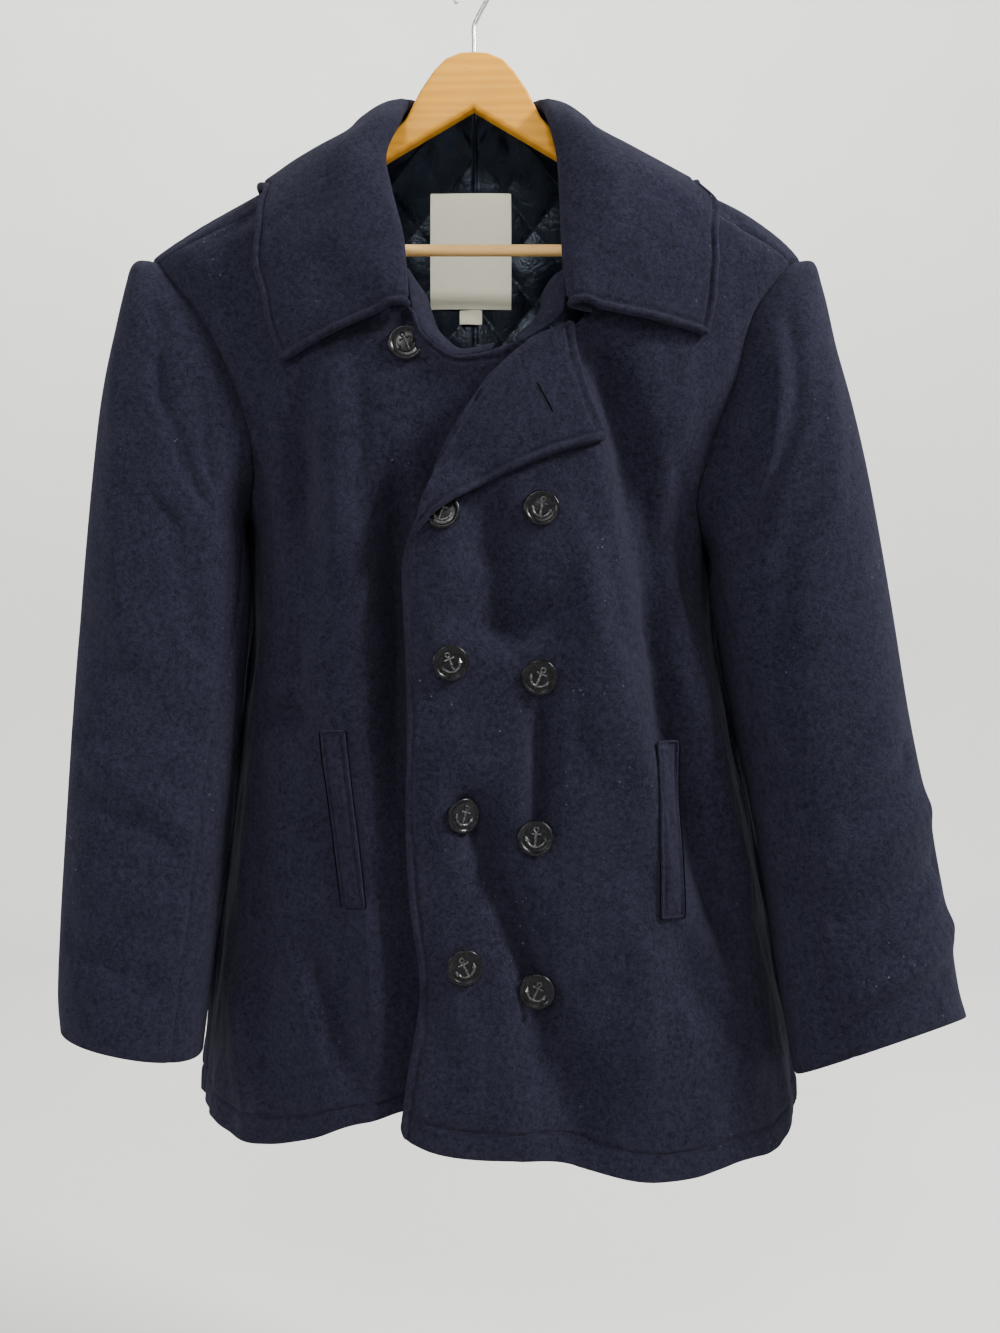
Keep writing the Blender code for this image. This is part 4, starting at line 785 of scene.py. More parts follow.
def on_coat(phi, z, out):
    """A point moved out from the coat's surface, folds included."""
    base = torso(phi, z)
    front = smooth_step(*FOLD_FADE, np.cos(phi))
    back = smooth_step(*FOLD_FADE, -np.cos(phi))
    lift = front * front_folds(base[:, 0], z) + back * back_folds(base[:, 0], z)
    return base + torso_normal(phi, z) * (lift + waves(phi * RING_SIZE, z) + out)[:, None]


def coons(u, v, start, end, bottom, top):
    """The patch between four edges: start and end read at v, bottom and top at u."""
    u, v = u[:, None], v[:, None]
    zero, one = np.zeros(1), np.ones(1)
    sides = (1 - u) * start(v[:, 0]) + u * end(v[:, 0])
    ends = (1 - v) * bottom(u[:, 0]) + v * top(u[:, 0])
    low = (1 - u) * start(zero) + u * end(zero)
    high = (1 - u) * start(one) + u * end(one)
    return sides + ends - (1 - v) * low - v * high


def armhole(side, angle):
    """Ring angle and height of an armhole's seam, for an angle round it in degrees."""
    rows = np.asarray(ARMHOLE[side], float)
    around = np.concatenate([rows[-3:] - [360, 0, 0], rows, rows[:4] + [360, 0, 0]])
    found = curve_at(np.mod(angle, 360), around[:, 0], around[:, 1:])
    return np.stack([side * np.radians(found[:, 0]), found[:, 1]], 1)


def neck(side, share):
    """Ring angle and height of the neck seam, from its front end, 0, to the centre back, 1."""
    found = even_curve(share, NECK[side])
    return np.stack([side * np.radians(found[:, 0]), found[:, 1]], 1)


def shoulder(side, share):
    """Ring angle and height of the shoulder seam, from the neck, 0, to the armhole, 1."""
    found = even_curve(share, SHOULDER)
    return np.stack([side * np.radians(found[:, 0]), found[:, 1]], 1)


def seam_start(side):
    """Ring angle and height at which the shoulder seam meets the neck seam."""
    return shoulder(side, np.zeros(1))


def side_edge(side, angle_to, hem_z):
    """A panel's edge from the hem up the side seam and round the armhole to angle_to, read by its share."""
    bend = UNDERARM_SHARE

    def edge(v):
        low = np.clip(v / bend, 0, 1)
        high = np.clip((v - bend) / (1 - bend), 0, 1)
        round_hole = armhole(side, 180 + (angle_to - 180) * high)
        under = armhole(side, np.array([180.0]))[0]
        seam_phi = np.full(len(v), side * math.radians(SIDE_PHI))
        straight = np.stack([seam_phi, hem_z + (under[1] - hem_z) * low], 1)
        return np.where((v > bend)[:, None], round_hole, straight)

    return edge


def front_patch(side, u, v):
    """Ring angle and height inside a front: u from its free edge to the side, v from hem to shoulder."""
    edge_rows = FRONT_EDGE if side > 0 else UNDER_EDGE

    def start(at):
        found = table_at(np.minimum(at, edge_rows[-1][0]), edge_rows)
        free = np.stack([angle_at(found[:, 0], found[:, 1]), found[:, 1]], 1)
        on_neck = neck(side, NECK_POINT * np.clip((at - NECK_SHARE) / (1 - NECK_SHARE), 0, 1))
        blend = np.clip((at - edge_rows[-1][0]) / (NECK_SHARE - edge_rows[-1][0]), 0, 1)[:, None]
        return (1 - blend) * free + blend * on_neck

    def bottom(at):
        phi = start(np.zeros(1))[0, 0] * (1 - at) + side * math.radians(SIDE_PHI) * at
        return np.stack([phi, table_at(at, HEM[side])[:, 0]], 1)

    def top(at):
        seam = shoulder(side, at)
        return seam + (1 - at)[:, None] * (start(np.ones(1)) - seam_start(side))

    end = side_edge(side, SHOULDER_ANGLE, HEM[side][-1][1])
    return coons(u, v, start, end, bottom, top)


def spread(places, rounds=240):
    """A grid's inner places moved so that its lines run evenly between its edges and never cross."""
    places = places * [RING_SIZE, 1.0]
    for _ in range(rounds):
        across = (places[1:-1, 2:] - places[1:-1, :-2]) / 2
        up = (places[2:, 1:-1] - places[:-2, 1:-1]) / 2
        a, b, c = (up**2).sum(-1), (across * up).sum(-1), (across**2).sum(-1)
        a, b, c = a[..., None], b[..., None], c[..., None]
        corners = (places[2:, 2:] - places[2:, :-2] - places[:-2, 2:] + places[:-2, :-2]) / 4
        even = a * (places[1:-1, 2:] + places[1:-1, :-2]) + c * (places[2:, 1:-1] + places[:-2, 1:-1])
        places[1:-1, 1:-1] += (even - 2 * b * corners) / (4 * (a + c)) - places[1:-1, 1:-1] / 2
    return places / [RING_SIZE, 1.0]


def left_front_places(cols, rows):
    """Ring angle and height over the left front: rows go up from its hem to throat, neck seam and shoulder."""
    throat, free = np.array(THROAT), np.array([row for row in UNDER_EDGE if row[2] < THROAT[0][1] + 1e-6])
    seam = neck(-1, np.linspace(THROAT_ON_NECK, NECK_POINT, 9))
    shoulder_line = shoulder(-1, np.linspace(0, 1, 6)[1:])
    edge = np.stack([angle_at(throat[:, 0], throat[:, 1]), throat[:, 1]], 1)
    knots = np.concatenate(
        [
            np.linspace(0, THROAT_END, len(edge)),
            np.linspace(THROAT_END, SEAM_END, len(seam) + 1)[1:],
            np.linspace(SEAM_END, 1, len(shoulder_line) + 1)[1:],
        ]
    )
    side_phi = -math.radians(SIDE_PHI)

    def start(at):
        found = table_at(at * free[-1, 0], free)
        return np.stack([angle_at(found[:, 0], found[:, 1]), found[:, 1]], 1)

    def bottom(at):
        phi = start(np.zeros(1))[0, 0] * (1 - at) + side_phi * at
        return np.stack([phi, table_at(at, HEM[-1])[:, 0]], 1)

    def top(at):
        return curve_at(at, knots, np.concatenate([edge, seam, shoulder_line]))

    end = side_edge(-1, SHOULDER_ANGLE, HEM[-1][-1][1])
    wide, tall = LEFT_GRID
    u, v = np.meshgrid(np.linspace(0, 1, wide), np.linspace(0, 1, tall))
    places = spread(coons(u.ravel(), v.ravel(), start, end, bottom, top).reshape(tall, wide, 2))
    lined = curve_at(rows, np.linspace(0, 1, tall), places.reshape(tall, -1)).reshape(len(rows), wide, 2)
    turned = curve_at(cols, np.linspace(0, 1, wide), lined.swapaxes(0, 1).reshape(wide, -1))
    return turned.reshape(len(cols), len(rows), 2).swapaxes(0, 1)


def back_patch(side, u, v):
    """Ring angle and height in a back half: u from the centre back and the neck to the side, v from hem to
    shoulder."""
    seam = side * math.radians(180)
    top_z, hem = NECK[side][-1][1], BACK_HEM[side]

    def start(at):
        up = np.interp(at, (0, UNDERARM_SHARE, BACK_SHARE), (hem[0][1], UNDERARM_Z, top_z))
        centre = np.stack([np.full(len(at), seam), up], 1)
        on_neck = neck(side, 1 - (1 - NECK_POINT) * np.clip((at - BACK_SHARE) / (1 - BACK_SHARE), 0, 1))
        return np.where((at > BACK_SHARE)[:, None], on_neck, centre)

    def bottom(at):
        phi = seam + (side * math.radians(SIDE_PHI) - seam) * at
        return np.stack([phi, table_at(at, hem)[:, 0]], 1)

    def top(at):
        meet = neck(side, np.array([NECK_POINT])) - seam_start(side)
        return shoulder(side, at) + (1 - at)[:, None] * meet

    end = side_edge(side, 360 + SHOULDER_ANGLE, hem[-1][1])
    return coons(u, v, start, end, bottom, top)


def over_lift(phi):
    """How far the right front stands out where it lies over the left one."""
    turn = np.arctan2(np.sin(phi), np.cos(phi))
    near_edge = 1 - smooth_step(*(math.radians(fade) for fade in OVERLAP_FADE), turn)
    return OVERLAP_LIFT * near_edge * (turn > math.radians(OVERLAP_FROM))


def under_drop(phi, z):
    """How far the left front falls back where the right one covers it, without that one's folds."""
    x = torso(phi, z)[:, 0]
    covered, tucked = smooth_step(*COVERED, x), smooth_step(*TUCKED, x)
    below = smooth_step(*reversed(LAPEL_END), z)
    fallen = 1 - UPPER_EASE * smooth_step(*LAPEL_END, z)
    dive = tucked * below + covered * (1 - below)
    return -fallen * (dive * UNDER_DROP + covered * front_folds(x, z))


def sleeve_shape(side, angle, s):
    """A point on a sleeve for an angle round it in degrees and a share of its length."""
    table = np.asarray(SLEEVE[side])

    def section(rows):
        outer_x, outer_z, inner_x, inner_z, y, deep, free = rows.T
        a = np.radians(angle)
        across = (np.sign(np.cos(a)) * np.abs(np.cos(a)) ** SLEEVE_CORNER)[:, None]
        ahead = (np.sign(np.sin(a)) * np.abs(np.sin(a)) ** SLEEVE_CORNER)[:, None]
        outer, inner = np.stack([outer_x, y, outer_z], 1), np.stack([inner_x, y, inner_z], 1)
        return (outer + inner) / 2 + (outer - inner) / 2 * across + deep[:, None] * ahead * WAY_OUT, free

    point, free = section(table_at(s, table))
    first = section(np.repeat(table[:1, 1:], len(angle), 0))[0]
    hole = armhole(side, angle)
    point[:, 2] += CUFF_LIFT[side] * np.maximum(np.sin(np.radians(angle)), 0) * smooth_step(CUFF_FROM, 1.0, s)
    return point + (1 - free)[:, None] * (torso(hole[:, 0], hole[:, 1]) - first)


def sleeve_fold(side, angle, s):
    """Height of a sleeve's creases."""
    total = np.zeros_like(s)
    for fold_side, s0, a0, s1, a1, wide, high in SLEEVE_FOLDS + FINE_SLEEVE_FOLDS:
        if fold_side != side:
            continue
        t = np.linspace(0, 1, 11)
        off_s = (s[:, None] - (s0 + (s1 - s0) * t)) * SLEEVE_LENGTH
        off_a = np.radians((angle[:, None] - (a0 + (a1 - a0) * t) + 180) % 360 - 180) * SLEEVE_RADIUS
        total += high * np.exp(-((off_s**2 + off_a**2).min(1) / wide**2))
    return total


# Cloth as walls of a grid, and its stitches


def grid_of(cols, rows, place):
    """place(u, v) read where the lines of a grid cross: rows, columns, xyz."""
    u, v = np.meshgrid(cols, rows)
    return place(u.ravel(), v.ravel()).reshape(len(rows), len(cols), 3)


def lines_over(length, step, stitched=False):
    """Shares of a length for a grid's lines, close together along both edges where the cloth rounds off, and on
    to beyond the row of stitches where there is one."""
    near = np.array(RIM_LINES + STITCH_LINES if stitched else RIM_LINES)
    count = max(round((length - 2 * near[-1]) / step), 2)
    inner = np.linspace(near[-1], length - near[-1], count + 1)
    return np.concatenate([near[:-1], inner, length - near[-2::-1]]) / length


def grid_lines(kind):
    """Columns and rows of a piece's grid, as shares of its width and height."""
    wide, step_across, tall, step_up, *stitched = GRIDS[kind]
    return lines_over(wide, step_across, "across" in stitched), lines_over(tall, step_up, "up" in stitched)


def with_hem(rows):
    """The rows of a grid with some more beside the hem's stitches, and how far the cloth sinks in along them."""
    rows = np.unique(np.concatenate([rows, HEM_INSET + np.array(HEM_LINES) / HEIGHT]))
    depth = bpy.context.scene.coat_sizes.stitch_depth
    return rows, -depth * np.exp(-(((rows - HEM_INSET) * HEIGHT / HEM_GROOVE) ** 2))[:, None]


def arc_from_start(points, axis):
    """Distance of each point of a grid from the grid's first line."""
    steps = np.linalg.norm(np.diff(points, axis=axis), axis=2)
    first = np.zeros_like(np.take(steps, [0], axis=axis))
    return np.cumsum(np.concatenate([first, steps], axis=axis), axis=axis)


def edge_distances(points):
    """Distance of each point of a grid from its four edges, along the cloth."""
    across, up = arc_from_start(points, 1), arc_from_start(points, 0)
    return {"left": across, "right": across[:, -1:] - across, "low": up, "high": up[-1:] - up}


def rim_fall(distance, radius):
    """How far a rounded rim has fallen off at a distance from its edge."""
    near = np.clip(distance, RIM_START * radius, radius)
    return radius - np.sqrt(radius**2 - (radius - near) ** 2)


def grid_normals(points, side):
    """The way out at each point of a grid; side is -1 where its columns run the other way round."""
    return unit(np.cross(np.gradient(points, axis=1), np.gradient(points, axis=0))) * side


def round_corner(points, a, b, radius):
    """A grid with one corner rounded, given each point's distance from the two edges that meet there."""
    x, y = np.clip(1 - a / radius, 0, 1), np.clip(1 - b / radius, 0, 1)
    row, column = np.unravel_index((np.abs(a - radius) + np.abs(b - radius)).argmin(), a.shape)
    centre = points[row, column]
    share = np.where((x > 0) & (y > 0), np.maximum(x, y) / np.maximum(np.hypot(x, y), 1e-9), 1.0)
    return centre + (points - centre) * share[..., None]


def blank_wall(name, cols, rows):
    """Two layers of a grid joined round their edge, as a mesh, with each corner's column, row and layer."""
    bm = bmesh.new()
    bmesh.ops.create_grid(bm, x_segments=cols - 1, y_segments=rows - 1, size=0.5)
    moved = bmesh.ops.extrude_face_region(bm, geom=bm.faces[:], use_keep_orig=True)["geom"]
    bmesh.ops.translate(bm, verts=[v for v in moved if isinstance(v, bmesh.types.BMVert)], vec=(0, 0, 1))
    mesh = bpy.data.meshes.new(name)
    bm.to_mesh(mesh)
    bm.free()
    flat = np.empty(len(mesh.vertices) * 3, np.float32)
    mesh.vertices.foreach_get("co", flat)
    flat = flat.reshape(-1, 3)
    column = np.rint((flat[:, 0] + 0.5) * (cols - 1)).astype(int)
    row = np.rint((flat[:, 1] + 0.5) * (rows - 1)).astype(int)
    return mesh, column, row, flat[:, 2] > 0.5


def signed_volume(mesh):
    """Volume of a closed mesh, below 0 where its faces point inwards."""
    mesh.calc_loop_triangles()
    corners = np.empty(len(mesh.loop_triangles) * 3, np.int32)
    mesh.loop_triangles.foreach_get("vertices", corners)
    points = np.empty(len(mesh.vertices) * 3, np.float32)
    mesh.vertices.foreach_get("co", points)
    a, b, c = points.reshape(-1, 3)[corners].reshape(-1, 3, 3).transpose(1, 0, 2).astype(float)
    return (a * np.cross(b, c)).sum() / 6


def wall(
    name, points, side, thick, rims, finish, lift=0.0, stitched=(), stitch_off=None, where=None, corner=None
):
    """A piece of cloth whose outer face follows a grid of points.

    rims gives the radius of each free edge; an edge that isn't named is a seam, where the face dips.
    corner gives the radius of the corners between free edges.
    stitched names the edges with a row of stitches beside them, which sinks into the cloth; where, if given,
    tells at which points of the grid there are any.
    """
    sizes = bpy.context.scene.coat_sizes
    off = sizes.stitch_inset if stitch_off is None else stitch_off
    normal = grid_normals(points, side)
    distance = edge_distances(points)
    for one in ("left", "right"):
        for two in ("low", "high"):
            if one in rims and two in rims and min(points.shape[:2]) > FEW_LINES:
                radius = min(ROUND_CORNER, thick * 1.2) if corner is None else corner
                points = round_corner(points, distance[one], distance[two], radius)
    fall, seam = np.zeros(points.shape[:2]), np.zeros(points.shape[:2])
    for edge, away in distance.items():
        if edge in rims:
            fall = np.maximum(fall, rim_fall(away, rims[edge]))
        else:
            seam += sizes.seam_depth * np.exp(-((away / SEAM_WIDTH) ** 2))
    sink = np.zeros(points.shape[:2])
    inside = np.full(points.shape[:2], np.inf)
    for edge in stitched:
        inside = np.minimum(inside, distance[edge])
    if stitched:
        sink = sizes.stitch_depth * np.exp(-(((inside - off) / STITCH_GROOVE) ** 2))
        sink -= EDGE_PUFF * sizes.stitch_depth * np.where(inside < off, np.sin(np.pi * inside / off), 0.0)
        sink *= 1.0 if where is None else where(points)
    face = points + normal * (lift - fall - seam - sink)[..., None]
    back = points + normal * (lift - thick + np.minimum(fall, thick / 2))[..., None]
    mesh, column, row, inner = blank_wall(name, points.shape[1], points.shape[0])
    place = np.where(inner[:, None], back[row, column], face[row, column])
    mesh.vertices.foreach_set("co", place.astype(np.float32).ravel())
    loops = np.empty(len(mesh.loops), np.int32)
    mesh.loops.foreach_get("vertex_index", loops)
    lay = mesh.uv_layers.new(name="cloth")
    flat = np.stack([distance["left"][row, column], distance["low"][row, column]], 1)[loops]
    lay.data.foreach_set("uv", flat.astype(np.float32).ravel())
    if signed_volume(mesh) < 0:
        mesh.flip_normals()
    mesh.shade_smooth()
    mesh.materials.append(finish)
    made = link(name, mesh)
    for edge in stitched:
        others = [distance[other] for other in stitched if other != edge]
        line, ways = line_beside(face, normal, distance[edge], edge, off, others)
        kept = np.full(len(line), True) if where is None else where(line)
        SEAMS.append((line[kept], ways[kept]))
    return made


def line_beside(face, normal, away, edge, off, others):
    """The points and normals of the line at a distance off from one edge, clear of the other stitched edges."""
    fields = [face, normal, away[..., None], *[other[..., None] for other in others]]
    if edge in ("low", "high"):
        fields = [field.swapaxes(0, 1) for field in fields]
    if edge in ("right", "high"):
        fields = [field[:, ::-1] for field in fields]
    found = []
    for lane in range(fields[0].shape[0]):
        at = np.interp(off, fields[2][lane, :, 0], np.arange(fields[0].shape[1]))
        low = min(int(at), fields[0].shape[1] - 2)
        share = at - low
        values = [(1 - share) * field[lane, low] + share * field[lane, low + 1] for field in fields]
        if all(value[0] >= off - 1e-4 for value in values[3:]):
            found.append(np.concatenate(values[:2]))
    found = np.array(found)
    return found[:, :3], found[:, 3:]


def placed(axes, origin):
    """The matrix that carries the unit axes to the columns of axes, and the origin to another place."""
    return Matrix(np.vstack([np.hstack([axes, origin[:, None]]), [0, 0, 0, 1]]).tolist())


def sew(bm, line, normals, length, pitch, radius):
    """A row of stitches along a line: each a short thread that dips into the cloth at its ends."""
    steps = np.linalg.norm(np.diff(line, axis=0), axis=1)
    along = np.concatenate([[0], np.cumsum(steps)])
    at = np.arange(pitch / 2, along[-1] - pitch / 2, pitch)
    place = np.stack([np.interp(at, along, line[:, k]) for k in range(3)], 1)
    ahead = np.stack([np.interp(at + pitch / 4, along, line[:, k]) for k in range(3)], 1)
    up = np.stack([np.interp(at, along, normals[:, k]) for k in range(3)], 1)
    for first in range(0, len(at), STITCH_RUN):
        run = bmesh.new()
        for i in range(first, min(first + STITCH_RUN, len(at))):
            way = unit(ahead[i] - place[i])
            cross = unit(np.cross(up[i], way))
            axes = np.stack([way * length / 2, cross * radius, np.cross(way, cross) * radius], 1)
            bmesh.ops.create_uvsphere(run, u_segments=6, v_segments=5, radius=1.0, matrix=placed(axes, place[i]))
        mesh = bpy.data.meshes.new("run")
        run.to_mesh(mesh)
        run.free()
        bm.from_mesh(mesh)
        bpy.data.meshes.remove(mesh)


def settle(piece, nodes):
    """The piece rides on the coat's only body and stands for its solids."""
    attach(piece, "root")
    if nodes:
        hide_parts(*nodes)
    return piece


def hang(piece, nodes):
    """Settles a piece of cloth."""
    settle(piece, nodes)


def link(name, data):
    """A new object in the scene."""
    made = bpy.data.objects.new(name, data)
    bpy.context.scene.collection.objects.link(made)
    return made


def object_of(name, bm, finish):
    """A bmesh as an object, smooth but for its sharp edges."""
    bmesh.ops.recalc_face_normals(bm, faces=bm.faces)
    mesh = bpy.data.meshes.new(name)
    bm.to_mesh(mesh)
    bm.free()
    mesh.shade_smooth()
    mesh.set_sharp_from_angle(angle=math.radians(38))
    mesh.materials.append(finish)
    return link(name, mesh)


def turned(section, steps, merge):
    """A section of radius and height, spun round the upright axis, with its poles closed."""
    bm = bmesh.new()
    verts = [bm.verts.new((r, 0, h)) for r, h in section]
    edges = [bm.edges.new(pair) for pair in zip(verts, verts[1:])]
    turn = {"cent": (0, 0, 0), "axis": (0, 0, 1), "angle": 2 * math.pi, "steps": steps}
    bmesh.ops.spin(bm, geom=verts + edges, use_merge=True, **turn)
    bmesh.ops.remove_doubles(bm, verts=bm.verts, dist=merge)
    return bm


# Cloth surfaces


def right_front_face(u, v):
    phi, z = front_patch(1, u, v).T
    return on_coat(phi, z, over_lift(phi))


def throat_lip(x, z):
    """How far the left front stands off beside its edge at the throat."""
    line = even_curve(np.linspace(0, 1, 60), THROAT)
    away = np.sqrt(((np.stack([x, z], 1)[:, None] - line[None]) ** 2).sum(2)).min(1)
    return LIP * np.exp(-((away / LIP_WIDTH) ** 2)) * smooth_step(*LIP_FADE, x)


def left_front_grid(cols, rows):
    phi, z = left_front_places(cols, rows).reshape(-1, 2).T
    x = torso(phi, z)[:, 0]
    return on_coat(phi, z, under_drop(phi, z) + throat_lip(x, z)).reshape(len(rows), len(cols), 3)


def back_face(side, u, v):
    phi, z = back_patch(side, u, v).T
    return on_coat(phi, z, np.zeros(len(z)))


def sleeve_angle(side, part, u, v):
    """The angle round a sleeve, across its upper piece, part 0, or its under piece, part 1."""
    seams = np.asarray(SLEEVE_SEAMS[side])
    front_seam, back_seam = curve_at(v, seams[:, 0], seams[:, 1:]).T
    if part == 0:
        return front_seam + (back_seam - 360 - front_seam) * u
    return front_seam + (back_seam - front_seam) * u


def sleeve_grid(side, part, cols, rows):
    """The bare sleeve and the height of its creases."""
    u, v = np.meshgrid(cols, rows)
    u, v = u.ravel(), v.ravel()
    angle = sleeve_angle(side, part, u, v)
    hole = armhole(side, angle)
    body = torso(hole[:, 0], hole[:, 1])
    meet = on_coat(hole[:, 0], hole[:, 1], over_lift(hole[:, 0]) if side > 0 else 0.0) - body
    bare = sleeve_shape(side, angle, v) + meet * (1 - smooth_step(0.0, FOLLOW, v))[:, None]
    start, soon = (sleeve_shape(side, angle, np.full(len(v), share)) for share in (0.0, ALLOWED))
    bare += SEAM_ALLOWANCE * unit(start - soon) * (1 - smooth_step(0.0, ALLOWED, v))[:, None]
    creases = sleeve_fold(side, np.mod(angle, 360), v) * smooth_step(0.0, CREASED, v)
    ripples = waves(np.radians(angle) * SLEEVE_RADIUS, v * SLEEVE_LENGTH + 0.25 * side)
    creases += SLEEVE_WAVES * ripples * smooth_step(0.0, WAVED, v)
    return bare.reshape(len(rows), len(cols), 3), creases.reshape(len(rows), len(cols))


def coat_height(phi, z, side):
    """How far the fronts stand out from the bare surface."""
    front = smooth_step(*FOLD_FADE, np.cos(phi))
    lift = front * front_folds(torso(phi, z)[:, 0], z) + waves(phi * RING_SIZE, z)
    return lift + np.where(side > 0, over_lift(phi), under_drop(phi, z))


def lying(phi, z, side, out):
    """A point moved out from the right front, side 1, or the left one, side -1."""
    return torso(phi, z) + torso_normal(phi, z) * (coat_height(phi, z, side) + out)[:, None]


def across_folds(phi, z, side, out):
    """The same for stiff doubled cloth, which lies across the troughs."""
    height = coat_height(phi, z, side)
    return torso(phi, z) + torso_normal(phi, z) * (height - BRIDGE * np.minimum(height, 0) + out)[:, None]


def collar_sections(s):
    """The middle of the collar's wall across each place s: from the neck seam up, over the fold and out."""
    rows = table_at(s, COLLAR)
    share, fold, edge_phi, edge_z = rows[:, 0], rows[:, 1:4], np.radians(rows[:, 4]), rows[:, 5]
    ahead = unit(table_at(np.minimum(s + 0.01, 1.0), COLLAR) - table_at(np.maximum(s - 0.01, 0.0), COLLAR))[:, 1:4]
    side = np.where(share < 0, -1, 1)
    left, right = neck(-1, 1 - np.minimum(np.abs(share), 1.0)), neck(1, 1 - np.minimum(np.abs(share), 1.0))
    seam = np.where(side[:, None] < 0, left, right - [2 * math.pi, 0])
    sections = []
    for step in COLLAR_REACH:
        phi = seam[:, 0] + (edge_phi - seam[:, 0]) * step
        z = seam[:, 1] + (edge_z - seam[:, 1]) * step
        out = TURNED / 2 + COLLAR_CLEAR + COLLAR_RISE * (1 - step) ** 2 + COLLAR_BOW * math.sin(math.pi * step)
        out = out + BACK_OFF * smooth_step(0.0, 0.5, -np.cos(phi))
        if step == 0:
            out = np.full(len(s), TURNED / 2 + COLLAR_OFF + 3 * GAP)
        sections.append(across_folds(phi, z, side, out))
    near_seam = seam + (np.stack([edge_phi, edge_z], 1) - seam) * COLLAR_REACH[1]
    first_normal = torso_normal(*near_seam.T)
    down = (sections[2] + sections[0]) / 2 - fold
    ahead = unit(ahead)
    down = unit(down - ahead * (down * ahead).sum(1)[:, None])
    outward = np.cross(ahead, down)
    outward *= np.sign((outward * first_normal).sum(1))[:, None]
    centre = fold + FOLD_DEEP * ROLL * down
    bend = [centre + ROLL * (math.sin(a) * outward - FOLD_DEEP * math.cos(a) * down) for a in FOLD_ANGLES]
    stand = (sections[0] + bend[0]) / 2 - outward * STAND_BOW
    return np.array([sections[0], stand, *bend, *sections[1:]])


def collar_grid(cols, rows):
    """The collar's sections read along their own length."""
    found = collar_sections(cols)
    steps = np.linalg.norm(np.diff(found, axis=0), axis=2).mean(1)
    knots = np.concatenate([[0], np.cumsum(steps)])
    flat = curve_at(rows * knots[-1], knots, found.reshape(len(found), -1))
    return flat.reshape(len(rows), len(cols), 3)


def lapel_face(u, v):
    tables = (LAPEL_FOLD_LOW, LAPEL_OUTER, LAPEL_FOLD_HIGH, LAPEL_LOWER)
    edges = [lambda at, rows=rows: table_at(at, rows) for rows in tables]
    x, z = coons(u, v, *edges).T
    rise_across, rise_up = (1 - smooth_step(0.0, end, at) for end, at in zip(LAPEL_RISE_ENDS, (u, v)))
    away = np.hypot(x - BUTTONS[0][1], z - BUTTONS[0][2])
    over_button = BUTTON_CLEAR * (1 - smooth_step(*BUTTON_NEAR, away))
    lift = np.maximum(LAPEL_CLEAR + LAPEL_RISE * (rise_across * rise_up), over_button)
    phi = angle_at(x, z)
    return across_folds(phi, z, 1, lift + TURNED)


def welt_face(side, x_mid, z_mid, lean, u, v):
    """A pocket's welt, upright but for its lean."""
    turn = math.radians(lean)
    across, up = (u - 0.5) * WELT_WIDTH, (v - 0.5) * WELT_HEIGHT
    x = x_mid + across * math.cos(turn) - up * math.sin(turn)
    z = z_mid + across * math.sin(turn) * 0.3 + up * math.cos(turn)
    return across_folds(angle_at(x, z), z, side, np.full(len(z), WELT_THICK + GAP))


def lining_face(u, v):
    """The lining's visible face, towards the coat's inside."""
    z = LINING_LOW + (STAND_TOP - LINING_LOW) * v
    x = (2 * u - 1) * table_at(-z, NECK_LINING_WIDTH + LINING_WIDTH[1:])[:, 0]
    phi = angle_at(x, z, back=True)
    one = np.abs(np.sin(math.pi * (x + z * QUILT_SLOPE) / QUILT_PITCH))
    two = np.abs(np.sin(math.pi * (x - z * QUILT_SLOPE) / QUILT_PITCH))
    puff = QUILT_THICK * (QUILT_FLAT + (1 - QUILT_FLAT) * (one * two) ** QUILT_ROUND)
    puff -= CENTRE_SEAM[0] * np.exp(-((x / CENTRE_SEAM[1]) ** 2))
    gathers = GATHERS * np.sin(2 * math.pi * x / GATHERS_WIDE + GATHERS_LEAN * z)
    puff += gathers * np.sin(2 * math.pi * z / GATHERS_TALL) * smooth_step(*GATHERED, z)
    puff += STAND_PUFF * smooth_step(*STAND_PUFFED, z)
    return torso(phi, z) - torso_normal(phi, z) * (WALL + LINING_GAP + puff)[:, None]


def label_face(top, width, height, u, v):
    """A label on the lining, bowed a little off it."""
    x = LABEL_X + (u - 0.5) * width
    z = top - (1 - v) * height
    phi = angle_at(x, z, back=True)
    bow = LABEL_BOW * np.sin(math.pi * u) + LABEL_RIPPLE * np.sin(5 * u + 4 * v)
    gap = WALL + LINING_GAP + QUILT_THICK + GAP + LABEL_THICK + bow
    return torso(phi, z) - torso_normal(phi, z) * gap[:, None]


def beside_throat(points):
    """Which points lie beside the free edge at the throat."""
    return (points[..., 0] > -0.050) & (points[..., 2] > -0.36)


def below_lapel(points):
    """Which points lie below the lapel's lower end."""
    return points[..., 2] < -0.482


def line_and_ways(points):
    """The middle line of three lines of points, and the way out from the cloth along it."""
    ways = unit(np.cross(np.gradient(points[1], axis=0), points[2] - points[0]))
    return points[1], ways * np.sign((ways * (points[1] - [0.0, 0.0, 1.0] * points[1])).sum(1))[:, None]


def hem_lines():
    """The lines along which fronts and backs are hemmed."""
    cols = np.linspace(*HEM_SPAN, HEM_POINTS)
    rows = HEM_INSET + np.array([-HEM_BESIDE, 0.0, HEM_BESIDE])
    grids = []
    for side in SIDES:
        grids.append(left_front_grid(cols, rows) if side < 0 else grid_of(cols, rows, right_front_face))
        grids.append(grid_of(cols, rows, lambda u, v: back_face(side, u, v)))
    return [line_and_ways(grid) for grid in grids]


